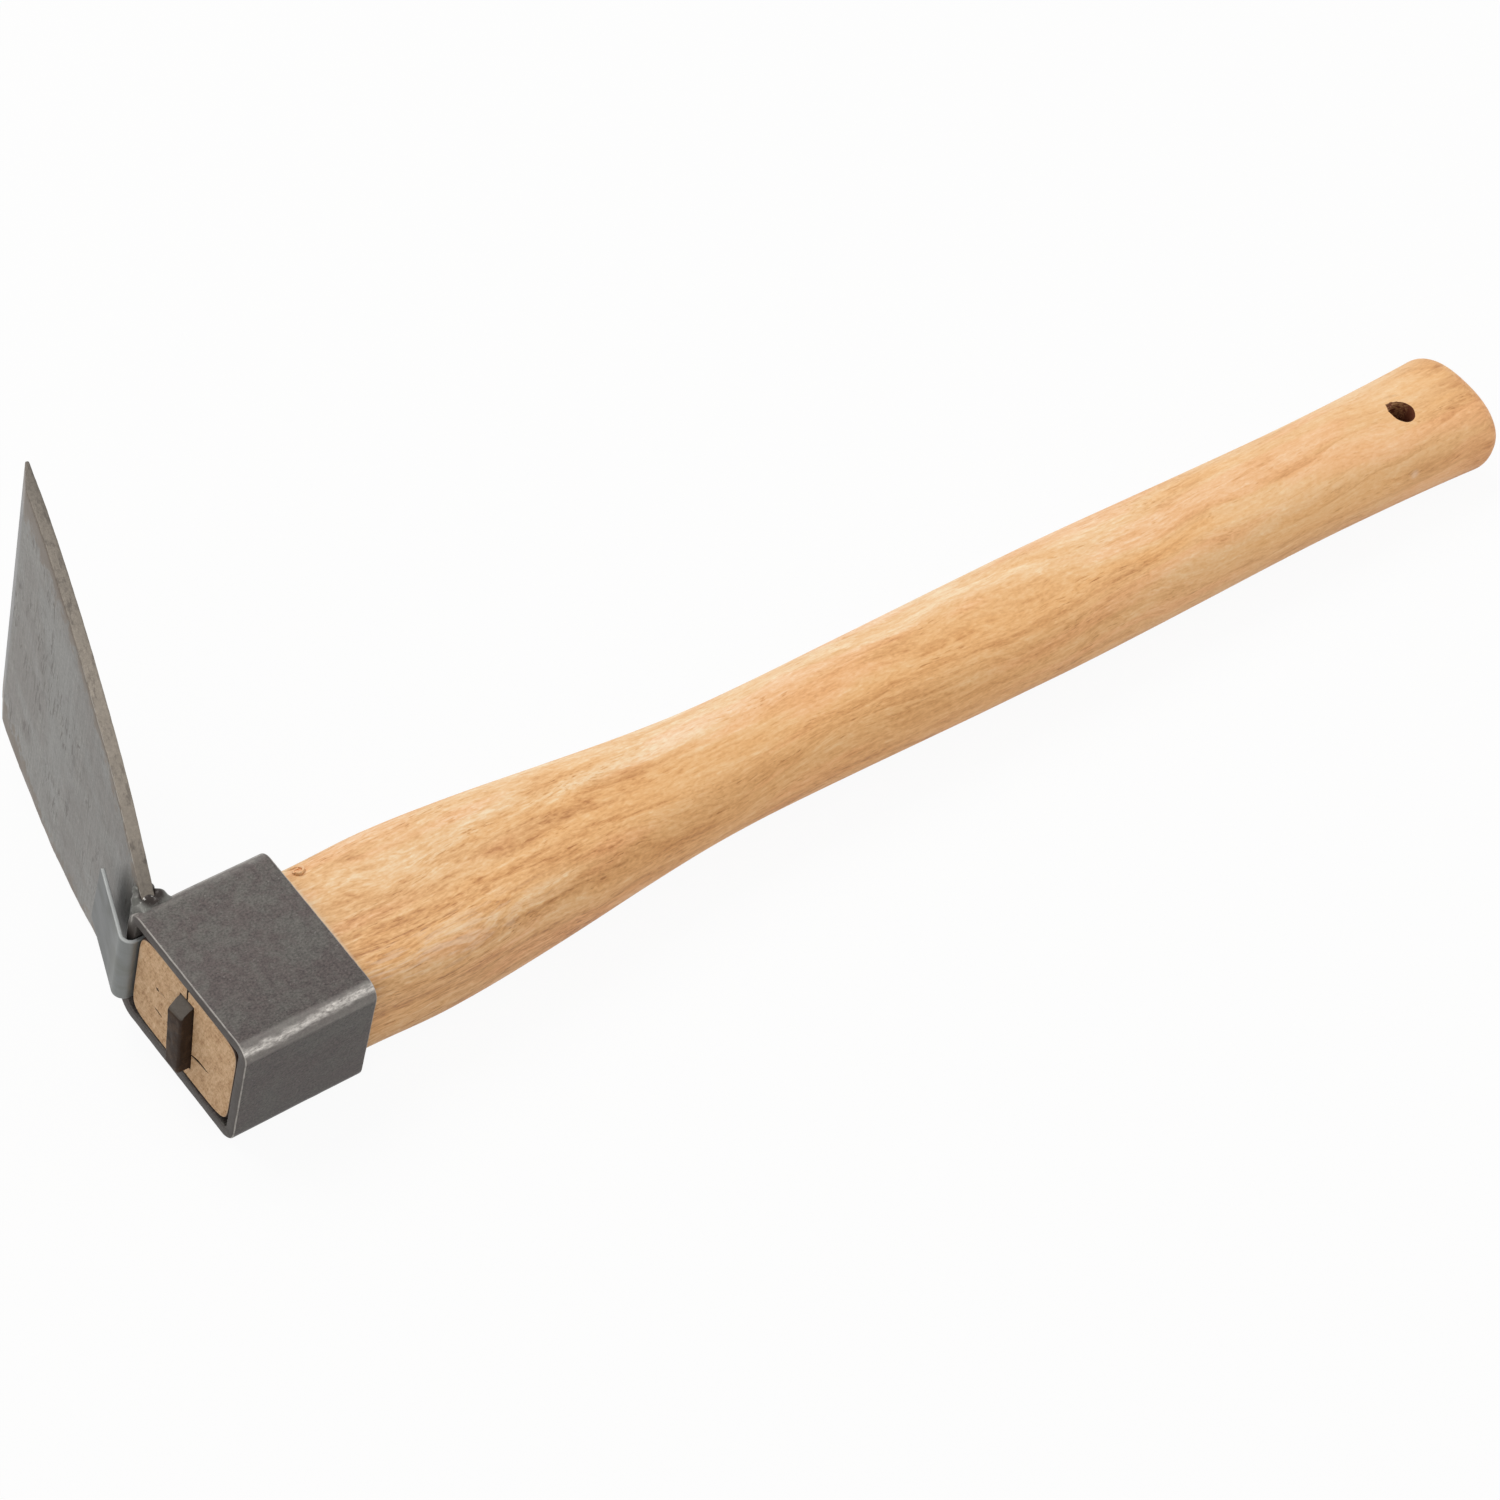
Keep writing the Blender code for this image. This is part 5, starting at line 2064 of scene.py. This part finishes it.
@dataclass
class WoodCurl:
    """Shaving raised by the band's back edge as it was driven on."""

    tool: ToolFrame
    centre: Triple = (39.6 * MM, 14.9 * MM, 13.85 * MM)
    axis: Triple = (-0.1, 0.5, 0.86)
    outer: float = 1.65 * MM
    inner: float = 0.75 * MM
    turns: float = 1.1
    turn_steps: int = 46
    width: float = 0.9 * MM
    thickness: float = 0.8 * MM
    edge_round: float = 0.3 * MM
    spacing: float = 0.5 * MM
    lead: float = 3.9 * MM
    lead_turn: float = math.radians(72.0)
    lead_steps: int = 10
    lead_thin: float = 0.65
    lead_narrow: float = 0.5
    end_thin: float = 0.5
    end_narrow: float = 0.3
    roughness: float = 0.12 * MM
    fibres: Unevenness = Unevenness(71, (1.2, 1.2, 1.2))

    def build(self, wood: bpy.types.Material) -> bpy.types.Object:
        """Roll a thin strip of wood.

        Args:
            wood: the wood's finish.

        Returns:
            The curl.
        """
        section = rounded_bar(self.width, self.thickness, self.edge_round, 4, self.spacing)
        wide, thick = section[:, 0], section[:, 1]
        touch = np.array([math.cos(self.lead_turn), math.sin(self.lead_turn)])
        back = np.array([-touch[1], touch[0]])
        rings = []
        for share in np.linspace(1, 0, self.lead_steps, endpoint=False):
            radial = self.outer + thick * (1 - self.lead_thin * share)
            flat = radial[:, None] * touch + back * self.lead * share
            rings.append(np.column_stack([flat, wide * (1 - self.lead_narrow * share)]))
        for share in np.arange(self.turn_steps + 1) / self.turn_steps:
            turn = self.lead_turn - share * self.turns * 2 * math.pi
            middle = self.outer + (self.inner - self.outer) * share
            radial = middle + thick * (1 - self.end_thin * share)
            rings.append(np.stack([radial * math.cos(turn), radial * math.sin(turn),
                                   wide * (1 - self.end_narrow * share)], 1))
        skin = Skin(rings).strip_ends()
        axis = Vector(self.axis).normalized()
        start = Vector((1, 0, 0))
        start = (start - axis * start.dot(axis)).normalized()
        turned = skin.points @ np.array([start, axis.cross(start), axis])
        skin.points = turned + np.array(self.centre)
        skin.points[:, 2] += self.fibres.at(skin.points) * self.roughness
        curl = skin.piece("wood_curl", self.tool)
        return settle(curl, Slot.HANDLE, wood)


@dataclass(frozen=True)
class Lamp:
    """Soft square lamp: its direction and distance from the hoe, its side and its watts."""

    name: str
    way: Triple
    distance: float
    size: float
    power: float

    def build(self) -> None:
        """Hang the lamp and turn it to the hoe."""
        light = bpy.data.lights.new(self.name, "AREA")
        light.size = self.size
        light.energy = self.power
        lamp = bpy.data.objects.new(self.name, light)
        bpy.context.scene.collection.objects.link(lamp)
        away = Vector(self.way).normalized()
        lamp.location = away * self.distance
        lamp.rotation_euler = away.to_track_quat("Z", "Y").to_euler()


@dataclass
class Studio:
    """Pale floor, white surroundings, soft lamps and the camera."""

    tool: ToolFrame
    floor_size: float = 8.0
    floor_drop: float = 0.05 * MM
    floor_colour: Colour = (0.72, 0.71, 0.69)
    floor_white: float = 0.94
    ambient: float = 0.456
    lamps: tuple[Lamp, ...] = (
        Lamp("key", (-0.10, 0.52, 1.0), 1.8, 1.1, 18.0),
        Lamp("fill", (-1.0, -0.55, 0.45), 1.7, 1.1, 4.0),
        Lamp("side", (0.80, -0.55, 0.60), 0.8, 0.5, 1.0))

    # The camera is placed in tool axes
    camera_place: Triple = (-0.4011, -0.4639, 0.8419)
    camera_target: Triple = (0.1610, -0.0007, 0.0)
    camera_up: Triple = (0.3813, 0.6785, 0.6279)
    lens: float = 112.8
    sensor: float = 36.0

    def build(self) -> None:
        """Set up everything round the hoe."""
        self.floor()
        self.surroundings()
        for lamp in self.lamps:
            lamp.build()
        self.camera()
        bpy.context.scene.view_settings.view_transform = "Standard"

    def floor(self) -> None:
        """Lay a pale floor that looks white and keeps a faint shadow."""
        half = self.floor_size / 2
        mesh = bpy.data.meshes.new("pale_floor")
        mesh.from_pydata([(-half, -half, 0), (half, -half, 0), (half, half, 0), (-half, half, 0)],
                         [], [(0, 1, 2, 3)])
        floor = bpy.data.objects.new("pale_floor", mesh)
        floor.location.z = -self.floor_drop
        bpy.context.scene.collection.objects.link(floor)
        material = bpy.data.materials.new("pale_floor")
        material.use_nodes = True
        g = NodeGraph(material.node_tree)
        matt = g.add("ShaderNodeBsdfDiffuse", None, {"Color": self.floor_colour})
        white = g.add("ShaderNodeEmission")
        both = g.add("ShaderNodeMixShader", None,
                     {0: g.seen() * self.floor_white, 1: matt, 2: white})
        g.add("ShaderNodeOutputMaterial", None, {"Surface": both})
        mesh.materials.append(material)

    def surroundings(self) -> None:
        """White to the eye and in reflections, softer as light."""
        world = bpy.data.worlds.new("studio")
        bpy.context.scene.world = world
        world.use_nodes = True
        g = NodeGraph(world.node_tree)
        strength = g.seen() * (1 - self.ambient) + self.ambient
        back = g.add("ShaderNodeBackground", None, {"Color": PLAIN, "Strength": strength})
        g.add("ShaderNodeOutputWorld", None, {"Surface": back})

    def camera(self) -> None:
        """Place the camera at the photograph's angle."""
        data = bpy.data.cameras.new("camera")
        data.sensor_width = self.sensor
        data.lens = self.lens
        camera = bpy.data.objects.new("camera", data)
        bpy.context.scene.collection.objects.link(camera)
        place = self.tool.point(self.camera_place)
        back = (place - self.tool.point(self.camera_target)).normalized()
        right = self.tool.direction(self.camera_up).cross(back).normalized()
        turn = Matrix((right, back.cross(right), back)).transposed()
        camera.matrix_world = Matrix.Translation(place) @ turn.to_4x4()
        bpy.context.scene.camera = camera


def main() -> None:
    """Build the hoe piece by piece, then the studio."""
    logging.basicConfig(level=logging.INFO, format="%(name)s: %(message)s")
    tool = ToolFrame()
    EyeBand(tool).build()
    Blade(tool).build()
    metal = WeldMetal().material(tool)
    WeldBead.front(tool).build(metal)
    WeldBead.rear(tool).build(metal)
    LockingTongue(tool).build()
    Wedge(tool).build()
    handle = Handle(tool).build()
    WoodCurl(tool).build(handle.data.materials[0])
    Studio(tool).build()


if __name__ == "__main__":
    main()
